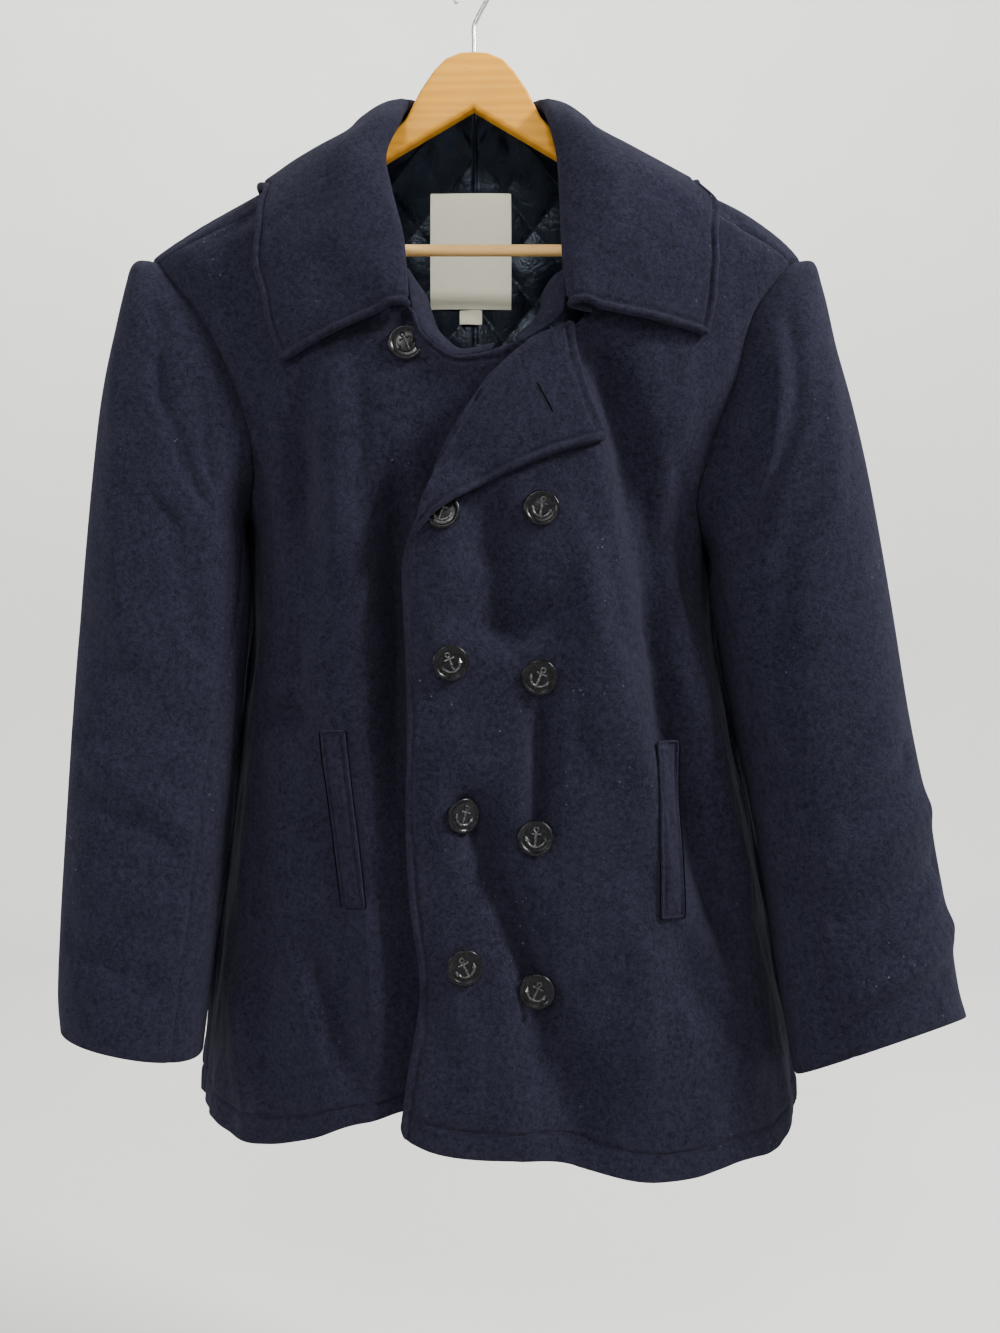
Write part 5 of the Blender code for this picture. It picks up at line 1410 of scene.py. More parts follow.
def buttonhole_rows():
    """The lapel's buttonhole: its slit, drawn as a line of painted shade, then a row of thread along each side."""
    share = np.linspace(0, 1, 160)
    u, v = np.meshgrid(share, share)
    cloth = lapel_face(u.ravel(), v.ravel())
    ends = np.array(BUTTONHOLE)
    along = unit(ends[1] - ends[0])
    aside = np.array([-along[1], along[0]])
    rows = []
    for off in (0.0, -BUTTONHOLE_HALF, BUTTONHOLE_HALF):
        flat = ends[0] + (ends[1] - ends[0]) * np.linspace(0, 1, 24)[:, None] + aside * off
        near = ((cloth[:, None, [0, 2]] - flat[None]) ** 2).sum(2).argmin(0)
        line = cloth[near]
        line[:, 0], line[:, 2] = flat.T
        rows.append((line, np.tile(WAY_OUT, (24, 1))))
    return rows


def mouth_rows():
    """Lines of painted shade along the two long edges of each pocket's welt, where its mouth is."""
    rows = []
    for side, x, z, lean in WELTS:
        share = np.linspace(0.01, 0.99, 60)
        for edge in (0.0, 1.0):
            line = welt_face(side, x, z, lean, np.full(60, edge), share)
            rows.append((line + [(edge - 0.5) * MOUTH_OUT, WELT_THICK, 0.0], np.tile(WAY_OUT, (60, 1))))
    return rows


def inner_button():
    """The small dark button that shows inside the throat."""
    bm = bmesh.new()
    place = Matrix.Translation(INNER_BUTTON) @ Matrix.Rotation(math.radians(INNER_LEAN), 4, "X")
    size = {"radius1": INNER_BACK, "radius2": INNER_FACE, "depth": INNER_THICK}
    bmesh.ops.create_cone(bm, cap_ends=True, segments=32, matrix=place, **size)
    rims = [e for e in bm.edges if len(e.link_faces) == 2 and e.calc_face_angle(0.0) > 0.8]
    bmesh.ops.bevel(bm, geom=rims, offset=INNER_ROUND, segments=3, affect="EDGES", profile=0.5, material=-1)
    return object_of("inner_button_moulded", bm, button_finish())


def facing_face(side, u, v):
    """A front's inside edge at the throat, turned in towards the neck."""
    x, z, across, down = even_curve(v, THROAT_FACING if side < 0 else LAPEL_FACING).T
    phi = angle_at(x, z)
    out = under_drop(phi, z) + throat_lip(x, z) - FACING_UNDER if side < 0 else over_lift(phi) + FACING_OVER
    rail = on_coat(phi, z, out)
    inward = np.stack([across, FACING_DEEP * (0.5 + v), down], 1)
    return rail + (u[:, None] - 0.25 * np.sin(math.pi * u)[:, None] * [0, 1, 0]) * inward


def rod(bm, start, end, radius, sides=10):
    """A round bar between two points, closed at both ends."""
    start, end = Vector(start), Vector(end)
    turn = (end - start).to_track_quat("Z", "Y").to_matrix().to_4x4()
    place = Matrix.Translation((start + end) / 2) @ turn
    bmesh.ops.create_cone(
        bm, cap_ends=True, segments=sides, radius1=radius, radius2=radius, depth=(end - start).length, matrix=place
    )


def bent_rod(bm, degrees, bend, rise, high, radius, sides=10):
    """A bar bent round a centre that lies rise above the middle, from angle to angle."""
    angles = [math.radians(a) for a in degrees]
    ends = [(bend * math.cos(a), bend * math.sin(a) + rise, high) for a in angles]
    for one, two in zip(ends, ends[1:]):
        rod(bm, one, two, radius, sides)


def anchor(bm):
    """A plain anchor on the button's face: shank, stock, curved arms, their flukes and the ring."""
    size, high, face = ANCHOR_SIZE, ANCHOR_HIGH, len(bm.faces)
    rod(bm, (0, -0.78 * size, high), (0, 0.50 * size, high), 0.00095)
    rod(bm, (-0.46 * size, 0.34 * size, high), (0.46 * size, 0.34 * size, high), 0.00080)
    bent_rod(bm, range(196, 345, 12), 0.78 * size, 0.02 * size, high, 0.00092)
    for side in (-1, 1):
        place = Matrix.Translation((side * 0.76 * size, -0.10 * size, high))
        lean = Matrix.Rotation(-side * 0.35, 4, "Z") @ Matrix.Rotation(-math.pi / 2, 4, "X")
        bmesh.ops.create_cone(
            bm, segments=6, radius1=0.0019, radius2=0.0003, depth=0.0036, cap_ends=True, matrix=place @ lean
        )
    bent_rod(bm, range(0, 361, 30), 0.19 * size, 0.70 * size, high, 0.00062, 8)
    bm.faces.ensure_lookup_table()
    for relief in bm.faces[face:]:
        relief.material_index = 1


def button(name, x, z, node):
    """A moulded button: dished face inside a raised rim, an anchor in relief and a short shank."""
    low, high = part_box(node)
    if not (low[0] < x < high[0] and low[2] < z < high[2]):
        raise ValueError(f"{node} has moved in the frame")
    bm = turned(BUTTON_SECTION, bpy.context.scene.coat_sizes.button_sides, 1e-6)
    anchor(bm)
    side = -1 if node == "button_throat" else 1
    ring = np.radians(np.arange(0, 360, 45))
    rim_x, rim_z = x + BUTTON_RADIUS * np.cos(ring), z + BUTTON_RADIUS * np.sin(ring)
    rim = lying(angle_at(rim_x, rim_z), rim_z, side, np.zeros(8))
    spokes = rim - rim.mean(0)
    normal = unit(sum(np.cross(a, b) for a, b in zip(spokes, np.roll(spokes, -1, 0))))
    normal = normal * -np.sign(normal[1])
    middle = lying(angle_at([x], [z]), np.array([z]), side, np.zeros(1))[0]
    needed = max([(middle - rim.mean(0)).dot(normal), *(spokes @ normal - BUTTON_SINK)])
    seat = rim.mean(0) + normal * needed
    right = unit(np.cross([0, 0, 1], normal))
    up = np.cross(normal, right)
    turn = Matrix.Rotation(BUTTON_TURN * math.sin(370 * x + 910 * z), 4, "Z")
    bmesh.ops.transform(bm, verts=bm.verts, matrix=placed(np.stack([right, up, normal], 1), seat) @ turn)
    made = object_of(name, bm, button_finish())
    # The throat button's anchor stays plain black; the other anchors carry the painted highlight.
    made.data.materials.append(button_finish() if node == "button_throat" else relief_finish())
    return made


def hanger_wood():
    """Both arms in one outline, cut from a board and rounded."""
    half = list(WOOD_TOP) + list(WOOD_LOW)
    outline = half + [(-x, z) for x, z in reversed(half) if x > 0]
    bm = bmesh.new()
    face = bm.faces.new([bm.verts.new((x, -WOOD_THICK / 2, z)) for x, z in outline])
    moved = bmesh.ops.extrude_face_region(bm, geom=[face], use_keep_orig=True)["geom"]
    rear = [item for item in moved if isinstance(item, bmesh.types.BMVert)]
    bmesh.ops.translate(bm, verts=rear, vec=(0, WOOD_THICK, 0))
    bmesh.ops.recalc_face_normals(bm, faces=bm.faces)
    rims = [e for e in bm.edges if len({round(v.co.y, 5) for v in e.verts}) == 1]
    bmesh.ops.bevel(bm, geom=rims, offset=WOOD_ROUND, segments=5, affect="EDGES", profile=0.5, material=-1)
    return object_of("hanger_wood_pine", bm, wood_finish("varnished pine", *WOOD))


def hanger_bar():
    bm = bmesh.new()
    rod(bm, (-BAR_HALF, 0, BAR_Z), (BAR_HALF, 0, BAR_Z), BAR_RADIUS, 28)
    return object_of("hanger_bar_pine", bm, wood_finish("bare pine", *BAR_WOOD))


def hanger_hook():
    """A bent wire from the wood up and over."""
    wire = even_curve(np.linspace(0, 1, 90), HOOK)
    data = bpy.data.curves.new("hanger_hook_steel", "CURVE")
    data.dimensions, data.bevel_depth, data.bevel_resolution, data.use_fill_caps = "3D", WIRE_RADIUS, 4, True
    spline = data.splines.new("POLY")
    spline.points.add(len(wire) - 1)
    for place, (x, z) in zip(spline.points, wire):
        place.co = (x, 0, z, 1.0)
    data.materials.append(steel_finish())
    return link("hanger_hook_steel", data)


# Finishes


def put(tree, kind, settings=None, **inputs):
    """A new node with its settings, and its sockets set to values or joined to other sockets."""
    made = tree.nodes.new(kind)
    for key, value in (settings or {}).items():
        setattr(made, key, value)
    for key, value in inputs.items():
        socket = made.inputs[int(key[1:])] if key[0] == "_" else made.inputs[key.replace("_", " ")]
        if isinstance(value, bpy.types.NodeSocket):
            tree.links.new(value, socket)
        else:
            socket.default_value = value
    return made


def maths(tree, what, a, b):
    return put(tree, "ShaderNodeMath", {"operation": what}, _0=a, _1=b).outputs[0]


def plus(tree, a, b, share):
    """a, and b times its share, added up."""
    return maths(tree, "ADD", a, maths(tree, "MULTIPLY", b, share))


def blend(tree, a, a_share, b, b_share):
    return plus(tree, maths(tree, "MULTIPLY", a, a_share), b, b_share)


def band(tree, value, low, high, to_low=0.0, to_high=1.0):
    """A soft rise from to_low to to_high where the value goes from low to high."""
    settings = {"interpolation_type": "SMOOTHSTEP"}
    made = put(tree, "ShaderNodeMapRange", settings, Value=value, From_Min=low, From_Max=high)
    made.inputs["To Min"].default_value, made.inputs["To Max"].default_value = to_low, to_high
    return made.outputs["Result"]


def mix_colours(tree, share, a, b):
    return put(tree, "ShaderNodeMix", {"data_type": "RGBA"}, _0=share, _6=a, _7=b).outputs[2]


def noise(tree, where, scale, detail=4.0, rough=0.6, distortion=0.0):
    inputs = {"Scale": scale, "Detail": detail, "Roughness": rough, "Distortion": distortion}
    return put(tree, "ShaderNodeTexNoise", Vector=where, **inputs).outputs["Fac"]


def tone(colour, share=1.0):
    """A colour made darker or lighter, with its alpha."""
    return tuple(share * c for c in colour) + (1.0,)


def fibre_group():
    """Fine tangled fibres: a height that varies over the surface, for colour and bump."""
    name = "tangled fibres"
    if name in bpy.data.node_groups:
        return bpy.data.node_groups[name]
    tree = bpy.data.node_groups.new(name, "ShaderNodeTree")
    tree.interface.new_socket("Vector", in_out="INPUT", socket_type="NodeSocketVector")
    scale = tree.interface.new_socket("Scale", in_out="INPUT", socket_type="NodeSocketFloat")
    scale.default_value = 900.0
    tree.interface.new_socket("Height", in_out="OUTPUT", socket_type="NodeSocketFloat")
    entry, leave = tree.nodes.new("NodeGroupInput"), tree.nodes.new("NodeGroupOutput")
    where, size = entry.outputs["Vector"], entry.outputs["Scale"]
    fine = noise(tree, where, size, 6.0, 0.7, 1.2)
    felt = noise(tree, where, maths(tree, "MULTIPLY", size, 0.28), 5.0, 0.65, 0.6)
    tree.links.new(blend(tree, fine, 0.55, felt, 0.45), leave.inputs["Height"])
    return tree


def fibres(tree, where, scale):
    made = put(tree, "ShaderNodeGroup", {"node_tree": fibre_group()}, Vector=where, Scale=scale)
    return made.outputs["Height"]


def start_finish(name, **shader):
    """A material with its own Principled shader, constants set on its sockets, and the object's coordinates."""
    found = bpy.data.materials.new(name)
    found.use_nodes = True
    tree = found.node_tree
    principled = tree.nodes["Principled BSDF"]
    for key, value in shader.items():
        principled.inputs[key.replace("_", " ")].default_value = value
    where = tree.nodes.new("ShaderNodeTexCoord").outputs["Object"]
    return found, tree, principled, where


def feed(tree, principled, **values):
    """Joins values that change over the surface to the shader's sockets of those names."""
    for key, value in values.items():
        tree.links.new(value, principled.inputs[key.replace("_", " ")])


def made_once(name):
    """Marks what makes a finish: it is made the first time it is asked for, and found by its name after that."""

    def mark(make):
        def find():
            return bpy.data.materials[name] if name in bpy.data.materials else make(name)

        return find

    return mark


def bump(tree, principled, height, strength, distance):
    made = put(tree, "ShaderNodeBump", Height=height, Strength=strength, Distance=distance)
    feed(tree, principled, Normal=made.outputs["Normal"])


@made_once("navy melton")
def wool_finish(name):
    wool = bpy.context.scene.coat_colours.wool
    shader = {"Roughness": 0.95, "Sheen_Weight": 0.03, "Sheen_Roughness": 0.5, "Sheen_Tint": (0.55, 0.60, 0.80, 1.0)}
    found, tree, principled, where = start_finish(name, Specular_IOR_Level=0.04, **shader)
    fibre = fibres(tree, where, 1000.0)
    patches = noise(tree, where, 38.0, 4.0, 0.6)
    broad = noise(tree, where, 6.0, 2.0, 0.5)
    share = plus(tree, band(tree, fibre, 0.36, 0.64), band(tree, patches, 0.3, 0.7), 0.12)
    share = maths(tree, "MULTIPLY", plus(tree, share, broad, 0.20), 0.76)
    cloth = mix_colours(tree, share, tone(wool, 0.12), tone(wool, 0.90))
    cells = put(tree, "ShaderNodeTexVoronoi", {"feature": "F1"}, Vector=where, Scale=150.0, Randomness=1.0)
    rare = band(tree, noise(tree, where, 14.0, 3.0, 0.7), 0.56, 0.70)
    speck = maths(tree, "MULTIPLY", band(tree, cells.outputs["Distance"], 0.14, 0.05), rare)
    lint = maths(tree, "MULTIPLY", speck, bpy.context.scene.coat_sizes.lint)
    feed(tree, principled, Base_Color=mix_colours(tree, lint, cloth, (0.16, 0.17, 0.21, 1.0)))
    bump(tree, principled, fibre, 0.95, 0.0014)
    return found


@made_once("navy thread")
def thread_finish(name):
    wool = bpy.context.scene.coat_colours.wool
    found, tree, principled, where = start_finish(name, Roughness=0.7, Specular_IOR_Level=0.15)
    fibre = fibres(tree, where, 3200.0)
    feed(tree, principled, Base_Color=mix_colours(tree, fibre, tone(wool, 0.1), tone(wool, 0.4)))
    bump(tree, principled, fibre, 0.3, 0.0002)
    return found


@made_once("navy satin")
def satin_finish(name):
    satin = bpy.context.scene.coat_colours.satin
    shader = {"Specular_IOR_Level": 0.13, "Specular_Tint": (0.70, 0.82, 1.0, 1.0)}
    found, tree, principled, where = start_finish(name, **shader)
    fibre = fibres(tree, where, 1500.0)
    wave = noise(tree, where, 70.0, 3.0, 0.6, 0.8)
    # The base is painted shade, SATIN_SHADE, where the rumples' noise is low, and the satin's own tone where it is
    # high.
    share = maths(tree, "MULTIPLY", maths(tree, "ADD", fibre, wave), 0.5)
    base = mix_colours(tree, share, tone(SATIN_SHADE), tone(satin))
    feed(tree, principled, Base_Color=base, Roughness=band(tree, wave, 0.3, 0.7, 0.22, 0.34))
    bump(tree, principled, plus(tree, wave, fibre, 0.12), 0.6, 0.0016)
    return found


@made_once("cream woven")
def woven_finish(name):
    label = bpy.context.scene.coat_colours.label
    found, tree, principled, where = start_finish(name, Roughness=0.75, Sheen_Weight=0.2)
    flat = put(tree, "ShaderNodeUVMap", {"uv_map": "cloth"}).outputs[0]
    warp = put(tree, "ShaderNodeTexWave", {"bands_direction": "X"}, Vector=flat, Scale=480.0)
    weft = put(tree, "ShaderNodeTexWave", {"bands_direction": "Y"}, Vector=flat, Scale=640.0)
    weave = maths(tree, "MULTIPLY", warp.outputs["Fac"], weft.outputs["Fac"])
    fibre = fibres(tree, where, 2600.0)
    share = blend(tree, fibre, 0.6, noise(tree, where, 55.0, 3.0, 0.6), 0.4)
    feed(tree, principled, Base_Color=mix_colours(tree, share, tone(label, 1.50), tone(label, 1.80)))
    bump(tree, principled, plus(tree, weave, fibre, 0.3), 0.5, 0.0003)
    return found


@made_once("black moulded")
def button_finish(name):
    found, tree, principled, where = start_finish(name, Specular_IOR_Level=0.16)
    mottle = noise(tree, where, 160.0, 3.0, 0.6)
    base = mix_colours(tree, mottle, (0.0015, 0.0015, 0.002, 1.0), (0.005, 0.005, 0.007, 1.0))
    feed(tree, principled, Base_Color=base, Roughness=band(tree, mottle, 0.35, 0.7, 0.20, 0.36))
    bump(tree, principled, noise(tree, where, 900.0, 4.0, 0.7, 2.0), 0.12, 0.0002)
    return found


@made_once("worn relief")
def relief_finish(name):
    """The anchor's raised face, lighter in patches: a painted highlight standing in for its glints."""
    found, tree, principled, where = start_finish(name, Specular_IOR_Level=0.5)
    mottle = noise(tree, where, 420.0, 4.0, 0.7)
    # The lighter patches of the anchor are a painted highlight.
    base = mix_colours(tree, band(tree, mottle, 0.40, 0.62), (0.004, 0.004, 0.005, 1.0), (0.040, 0.042, 0.046, 1.0))
    feed(tree, principled, Base_Color=base, Roughness=band(tree, mottle, 0.35, 0.65, 0.14, 0.30))
    return found


@made_once("slit")
def shade_finish(name):
    """Painted shade: the near-black drawn inside a slit in the wool and along the pockets' mouths."""
    found, tree, principled, where = start_finish(name, Roughness=0.95, Specular_IOR_Level=0.02)
    base = mix_colours(tree, noise(tree, where, 900.0), (0.0010, 0.0010, 0.0016, 1.0), (0.004, 0.004, 0.007, 1.0))
    feed(tree, principled, Base_Color=base)
    return found


def wood_finish(name, dark, light):
    """Pine of two tones, its grain along the arms."""
    wood = bpy.context.scene.coat_colours.wood
    found, tree, principled, where = start_finish(name, Coat_Weight=0.02, Coat_Roughness=0.2, Specular_IOR_Level=0.08)
    grain = put(tree, "ShaderNodeMapping", Vector=where, Scale=(0.10, 1.0, 1.0)).outputs[0]
    inputs = {"Vector": grain, "Scale": 38.0, "Distortion": 7.0, "Detail": 3.0}
    rings = put(tree, "ShaderNodeTexWave", {"bands_direction": "Z"}, **inputs).outputs["Fac"]
    pores = noise(tree, grain, 900.0, 4.0, 0.6)
    patches = noise(tree, grain, 30.0, 3.0, 0.5)
    base = mix_colours(tree, blend(tree, rings, 0.3, patches, 0.7), tone(light), tone(dark))
    base = mix_colours(tree, band(tree, pores, 0.60, 0.72, 0.0, 0.5), base, tone(wood, 0.5))
    feed(tree, principled, Base_Color=base, Roughness=band(tree, patches, 0.3, 0.7, 0.34, 0.50))
    bump(tree, principled, pores, 0.15, 0.0003)
    return found


@made_once("plated steel")
def steel_finish(name):
    found, tree, principled, where = start_finish(name, Metallic=1.0)
    dull = noise(tree, where, 60.0, 3.0, 0.6)
    base = mix_colours(tree, dull, (0.56, 0.56, 0.57, 1.0), (0.40, 0.40, 0.41, 1.0))
    feed(tree, principled, Base_Color=base, Roughness=band(tree, dull, 0.3, 0.7, 0.20, 0.38))
    bump(tree, principled, noise(tree, where, 500.0, 4.0, 0.6), 0.10, 0.0001)
    return found


@made_once("studio floor")
def studio_finish(name):
    found, tree, principled, where = start_finish(name, Roughness=0.9, Specular_IOR_Level=0.1)
    soft = noise(tree, where, 3.0, 3.0, 0.5)
    feed(tree, principled, Base_Color=mix_colours(tree, soft, (0.53, 0.53, 0.515, 1.0), (0.57, 0.57, 0.555, 1.0)))
    return found


# What a user may change


class CoatSizes(bpy.types.PropertyGroup):
    """Sizes of the coat's details"""

    stitch_inset: FloatProperty(
        name="Stitch inset", description="From an edge to its row of stitches", default=0.007, unit="LENGTH"
    )
    stitch_length: FloatProperty(
        name="Stitch length", description="Length of thread that shows", default=0.0024, unit="LENGTH"
    )
    stitch_pitch: FloatProperty(
        name="Stitch pitch", description="From one stitch to the next", default=0.0034, unit="LENGTH"
    )
    thread: FloatProperty(name="Thread", description="Radius of the thread", default=0.00026, unit="LENGTH")
    stitch_depth: FloatProperty(
        name="Stitch depth", description="How far a row of stitches sinks in", default=0.0014, unit="LENGTH"
    )
    seam_depth: FloatProperty(
        name="Seam depth", description="How far the cloth dips at a seam", default=0.0012, unit="LENGTH"
    )
    lint: FloatProperty(name="Lint", description="How much lint lies on the wool", default=0.5, subtype="FACTOR")
    button_sides: IntProperty(name="Button sides", description="Sides of a button's rim", default=56)


class CoatColours(bpy.types.PropertyGroup):
    """Colours of the coat and its hanger"""

    wool: FloatVectorProperty(name="Wool", description="Colour of the melton", default=WOOL, subtype="COLOR")
    satin: FloatVectorProperty(name="Satin", description="Colour of the lining", default=SATIN, subtype="COLOR")
    label: FloatVectorProperty(name="Label", description="Colour of the label", default=CREAM, subtype="COLOR")
    wood: FloatVectorProperty(name="Wood", description="Colour of the hanger", default=PINE, subtype="COLOR")


class Make:
    """What the coat's operators share."""

    bl_options = {"REGISTER", "UNDO"}


class COAT_OT_fronts(Make, bpy.types.Operator):
    """The two fronts, the right one over the left one"""

    bl_idname = "coat.fronts"
    bl_label = "Fronts"

    def execute(self, context):
        cols, rows = grid_lines("front")
        rows, hem = with_hem(rows)
        left, right = left_front_grid(cols, rows), grid_of(cols, rows, right_front_face)
        throat = {"stitched": ("high",), "where": beside_throat}
        edge = {"stitched": ("left",), "where": below_lapel, "corner": HEM_CORNER}
        fronts = (-1, left, ("left", "low", "high"), throat), (1, right, ("left", "low"), edge)
        for side, points, free, stitches in fronts:
            rims, name = dict.fromkeys(free, WALL / 2), f"front_{SIDES[side]}"
            piece = wall(f"{name}_wool", points, side, WALL, rims, wool_finish(), lift=hem, **stitches)
            hang(piece, [name])
        return {"FINISHED"}


class COAT_OT_backs(Make, bpy.types.Operator):
    """The two halves of the back, with their seam between them"""

    bl_idname = "coat.backs"
    bl_label = "Backs"

    def execute(self, context):
        for side, word in SIDES.items():
            cols, rows = grid_lines("back")
            rows, hem = with_hem(rows)
            points = grid_of(cols, rows, lambda u, v: back_face(side, u, v))
            piece = wall(f"back_{word}_wool", points, -side, WALL, {"low": WALL / 2}, wool_finish(), lift=hem)
            hang(piece, [f"back_{word}"])
        return {"FINISHED"}


class COAT_OT_sleeves(Make, bpy.types.Operator):
    """Upper and under sleeves"""

    bl_idname = "coat.sleeves"
    bl_label = "Sleeves"

    def execute(self, context):
        for side, word in SIDES.items():
            for part, kind in enumerate(("upper_sleeve", "under_sleeve")):
                bare, creases = sleeve_grid(side, part, *grid_lines(kind))
                turn, name = (-side, side)[part], f"{kind}_{word}"
                piece = wall(f"{name}_wool", bare, turn, WALL, {"high": WALL / 2}, wool_finish(), lift=creases)
                hang(piece, [name])
        return {"FINISHED"}


class COAT_OT_collar(Make, bpy.types.Operator):
    """The collar, folded over the shoulders"""

    bl_idname = "coat.collar"
    bl_label = "Collar"

    def execute(self, context):
        points, free = collar_grid(*grid_lines("collar")), ("left", "right", "high")
        rims = dict.fromkeys(free, TURNED / 2)
        piece = wall("collar_wool", points, 1, TURNED, rims, wool_finish(), lift=TURNED / 2, stitched=free)
        hang(piece, ["collar"])
        return {"FINISHED"}


class COAT_OT_lapel(Make, bpy.types.Operator):
    """The open lapel with its buttonhole"""

    bl_idname = "coat.lapel"
    bl_label = "Lapel"

    def execute(self, context):
        points, free = grid_of(*grid_lines("lapel"), lapel_face), ("right", "high")
        rims = dict.fromkeys(free, TURNED / 2) | dict.fromkeys(("left", "low"), FOLDED_RIM * TURNED)
        piece = wall("lapel_right_wool", points, -1, TURNED, rims, wool_finish(), stitched=free, corner=TIP)
        hang(piece, ["lapel_right"])
        return {"FINISHED"}


class COAT_OT_throat(Make, bpy.types.Operator):
    """The fronts' inside edges, turned in at the throat"""

    bl_idname = "coat.throat"
    bl_label = "Facings"

    def execute(self, context):
        for side, name in ((-1, "throat_facing"), (1, "lapel_facing")):
            points = grid_of(*grid_lines("facing"), lambda u, v: facing_face(side, u, v))
            rims = dict.fromkeys(ALL_EDGES, FACING_RIM)
            piece = wall(f"{name}_wool", points, 1, FACING_THICK, rims, wool_finish())
            hang(piece, ["neck_facing"] if side < 0 else [])
        return {"FINISHED"}


class COAT_OT_pockets(Make, bpy.types.Operator):
    """The welts of the two upright pockets"""

    bl_idname = "coat.pockets"
    bl_label = "Pocket welts"

    def execute(self, context):
        for side, x, z, lean in WELTS:
            points = grid_of(*grid_lines("welt"), lambda u, v: welt_face(side, x, z, lean, u, v))
            rims, name = dict.fromkeys(ALL_EDGES, WELT_THICK / 2), f"pocket_welt_{SIDES[side]}"
            stitches = {"stitched": ("low", "high", "left", "right"), "stitch_off": WELT_STITCHED}
            hang(wall(f"{name}_wool", points, 1, WELT_THICK, rims, wool_finish(), **stitches), [name])
        return {"FINISHED"}


class COAT_OT_lining(Make, bpy.types.Operator):
    """The quilted satin lining behind the neck"""

    bl_idname = "coat.lining"
    bl_label = "Lining"

    def execute(self, context):
        points, rims = grid_of(*grid_lines("lining"), lining_face), dict.fromkeys(ALL_EDGES, LINING_RIM)
        piece = wall("back_lining_satin", points, 1, LINING_SHEET, rims, satin_finish())
        hang(piece, ["back_lining"])
        return {"FINISHED"}


class COAT_OT_label(Make, bpy.types.Operator):
    """The plain woven label and the small tab under it"""

    bl_idname = "coat.label"
    bl_label = "Label and tab"

    def execute(self, context):
        for name, top in (("neck_label", LABEL_TOP), ("size_tab", LABEL_TOP - LABEL_HEIGHT - GAP)):
            width, _, height, _ = GRIDS[name]
            points = grid_of(*grid_lines(name), lambda u, v: label_face(top, width, height, u, v))
            rims = dict.fromkeys(ALL_EDGES, LABEL_THICK / 2)
            piece = wall(f"{name}_woven", points, 1, LABEL_THICK, rims, woven_finish())
            hang(piece, [name])
        return {"FINISHED"}


class COAT_OT_buttons(Make, bpy.types.Operator):
    """The black buttons, each with a plain anchor in low relief"""

    bl_idname = "coat.buttons"
    bl_label = "Buttons"

    def execute(self, context):
        for name, x, z in (*BUTTONS, ("button_throat", *THROAT_BUTTON)):
            piece = button(f"{name}_moulded", x, z, name)
            settle(piece, [name])
        settle(inner_button(), [])
        return {"FINISHED"}


class COAT_OT_hanger(Make, bpy.types.Operator):
    """The hanger's wood, its round bar and its hook"""

    bl_idname = "coat.hanger"
    bl_label = "Hanger"

    def execute(self, context):
        settle(hanger_wood(), ["hanger_wood"])
        settle(hanger_bar(), ["hanger_bar"])
        settle(hanger_hook(), ["hanger_hook"])
        return {"FINISHED"}


class COAT_OT_stitching(Make, bpy.types.Operator):
    """Every row of stitches, and the lines of painted shade in the buttonhole's slit and along the pockets' mouths"""

    bl_idname = "coat.stitching"
    bl_label = "Stitching"

    def execute(self, context):
        sizes = context.scene.coat_sizes
        bm, painted_shade = bmesh.new(), bmesh.new()
        for row in SEAMS + hem_lines():
            sew(bm, *row, sizes.stitch_length, sizes.stitch_pitch, sizes.thread)
        # The buttonhole's slit and the pockets' mouths are drawn in near-black as painted shade.
        slit, *sides = buttonhole_rows()
        for row in sides:
            sew(bm, *row, *BUTTONHOLE_THREAD)
        sew(painted_shade, *slit, *SLIT)
        for row in mouth_rows():
            sew(painted_shade, *row, *MOUTH)
        settle(object_of("painted_shade_lines", painted_shade, shade_finish()), [])
        settle(object_of("topstitching", bm, thread_finish()), [])
        return {"FINISHED"}


class COAT_OT_cloth(Make, bpy.types.Operator):
    """Does nothing"""

    bl_idname = "coat.cloth"
    bl_label = "Cloth"

    def execute(self, context):
        return {"FINISHED"}


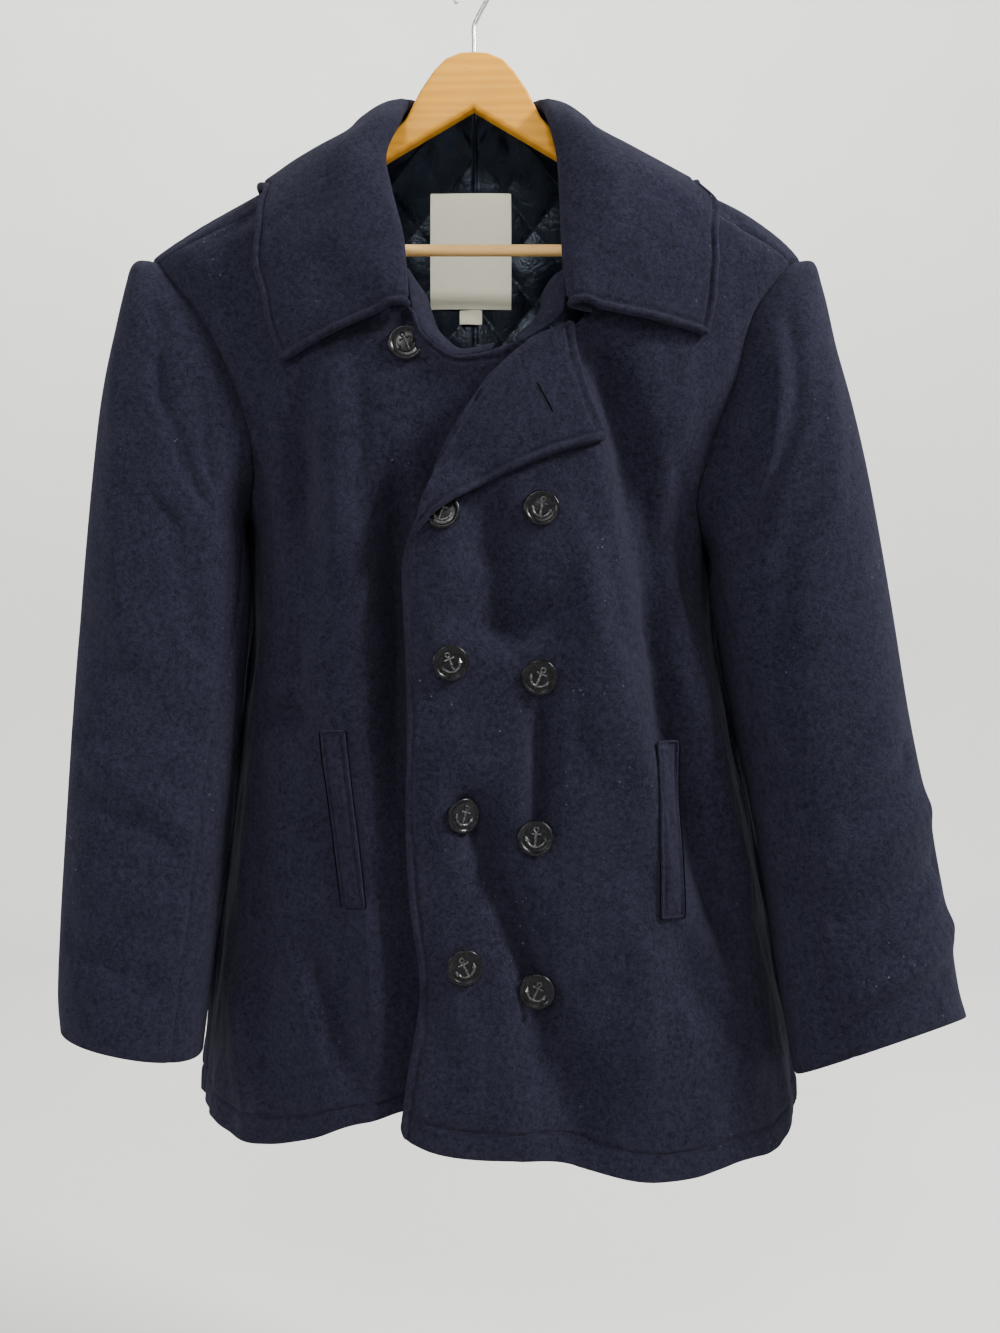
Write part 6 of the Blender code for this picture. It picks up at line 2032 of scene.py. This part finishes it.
class COAT_OT_stage(Make, bpy.types.Operator):
    """A pale round floor that rises into a wall, soft lights and the camera"""

    bl_idname = "coat.stage"
    bl_label = "Stage"

    def execute(self, context):
        section = [(0.0, FLOOR_Z), (FLOOR_RADIUS, FLOOR_Z)]
        for step in range(1, 9):
            a = math.pi / 2 * step / 8
            section.append((FLOOR_RADIUS + FLOOR_BEND * math.sin(a), FLOOR_Z + FLOOR_BEND * (1 - math.cos(a))))
        section.append((FLOOR_RADIUS + FLOOR_BEND, WALL_TOP))
        floor = object_of("studio_floor", turned(section, 96, 1e-5), studio_finish())
        for name, place, aim, size, power, tint in LIGHTS:
            data = bpy.data.lights.new(name, "AREA")
            data.shape, data.size, data.size_y, data.energy, data.color = "RECTANGLE", *size, power, tint
            lamp = link(name, data)
            lamp.location = place
            lamp.rotation_euler = (Vector(aim) - Vector(place)).to_track_quat("-Z", "Y").to_euler()
        sky = bpy.data.worlds.new("studio air")
        sky.use_nodes = True
        air = sky.node_tree.nodes["Background"].inputs
        air["Color"].default_value, air["Strength"].default_value = AIR_COLOUR, AIR
        context.scene.world = sky
        data = bpy.data.cameras.new("camera")
        data.lens, data.sensor_width, data.clip_start = CAMERA_LENS, CAMERA_WIDTH, 0.02
        camera = link("camera", data)
        camera.location, camera.rotation_euler = CAMERA_PLACE, (math.pi / 2, 0, 0)
        context.scene.camera = camera
        return {"FINISHED"}


class COAT_PT_panel(bpy.types.Panel):
    """The coat's sizes and colours, and a button for each of its operators"""

    bl_idname = "COAT_PT_panel"
    bl_label = "Coat"
    bl_space_type = "VIEW_3D"
    bl_region_type = "UI"
    bl_category = "Coat"

    def draw(self, context):
        for group in (context.scene.coat_sizes, context.scene.coat_colours):
            for name in group.__annotations__:
                self.layout.prop(group, name)
        for maker in MAKERS:
            self.layout.operator(maker.bl_idname)


MAKERS = (
    COAT_OT_fronts,
    COAT_OT_backs,
    COAT_OT_sleeves,
    COAT_OT_collar,
    COAT_OT_lapel,
    COAT_OT_throat,
    COAT_OT_pockets,
    COAT_OT_lining,
    COAT_OT_label,
    COAT_OT_buttons,
    COAT_OT_hanger,
    COAT_OT_stitching,
    COAT_OT_cloth,
    COAT_OT_stage,
)
CLASSES = (CoatSizes, CoatColours, *MAKERS, COAT_PT_panel)


def register():
    for one in CLASSES:
        bpy.utils.register_class(one)
    bpy.types.Scene.coat_sizes = PointerProperty(type=CoatSizes)
    bpy.types.Scene.coat_colours = PointerProperty(type=CoatColours)


def unregister():
    del bpy.types.Scene.coat_sizes
    del bpy.types.Scene.coat_colours
    for one in reversed(CLASSES):
        bpy.utils.unregister_class(one)


def main():
    register()
    for maker in MAKERS:
        group, word = maker.bl_idname.split(".")
        getattr(getattr(bpy.ops, group), word)()


if __name__ == "__main__":
    main()
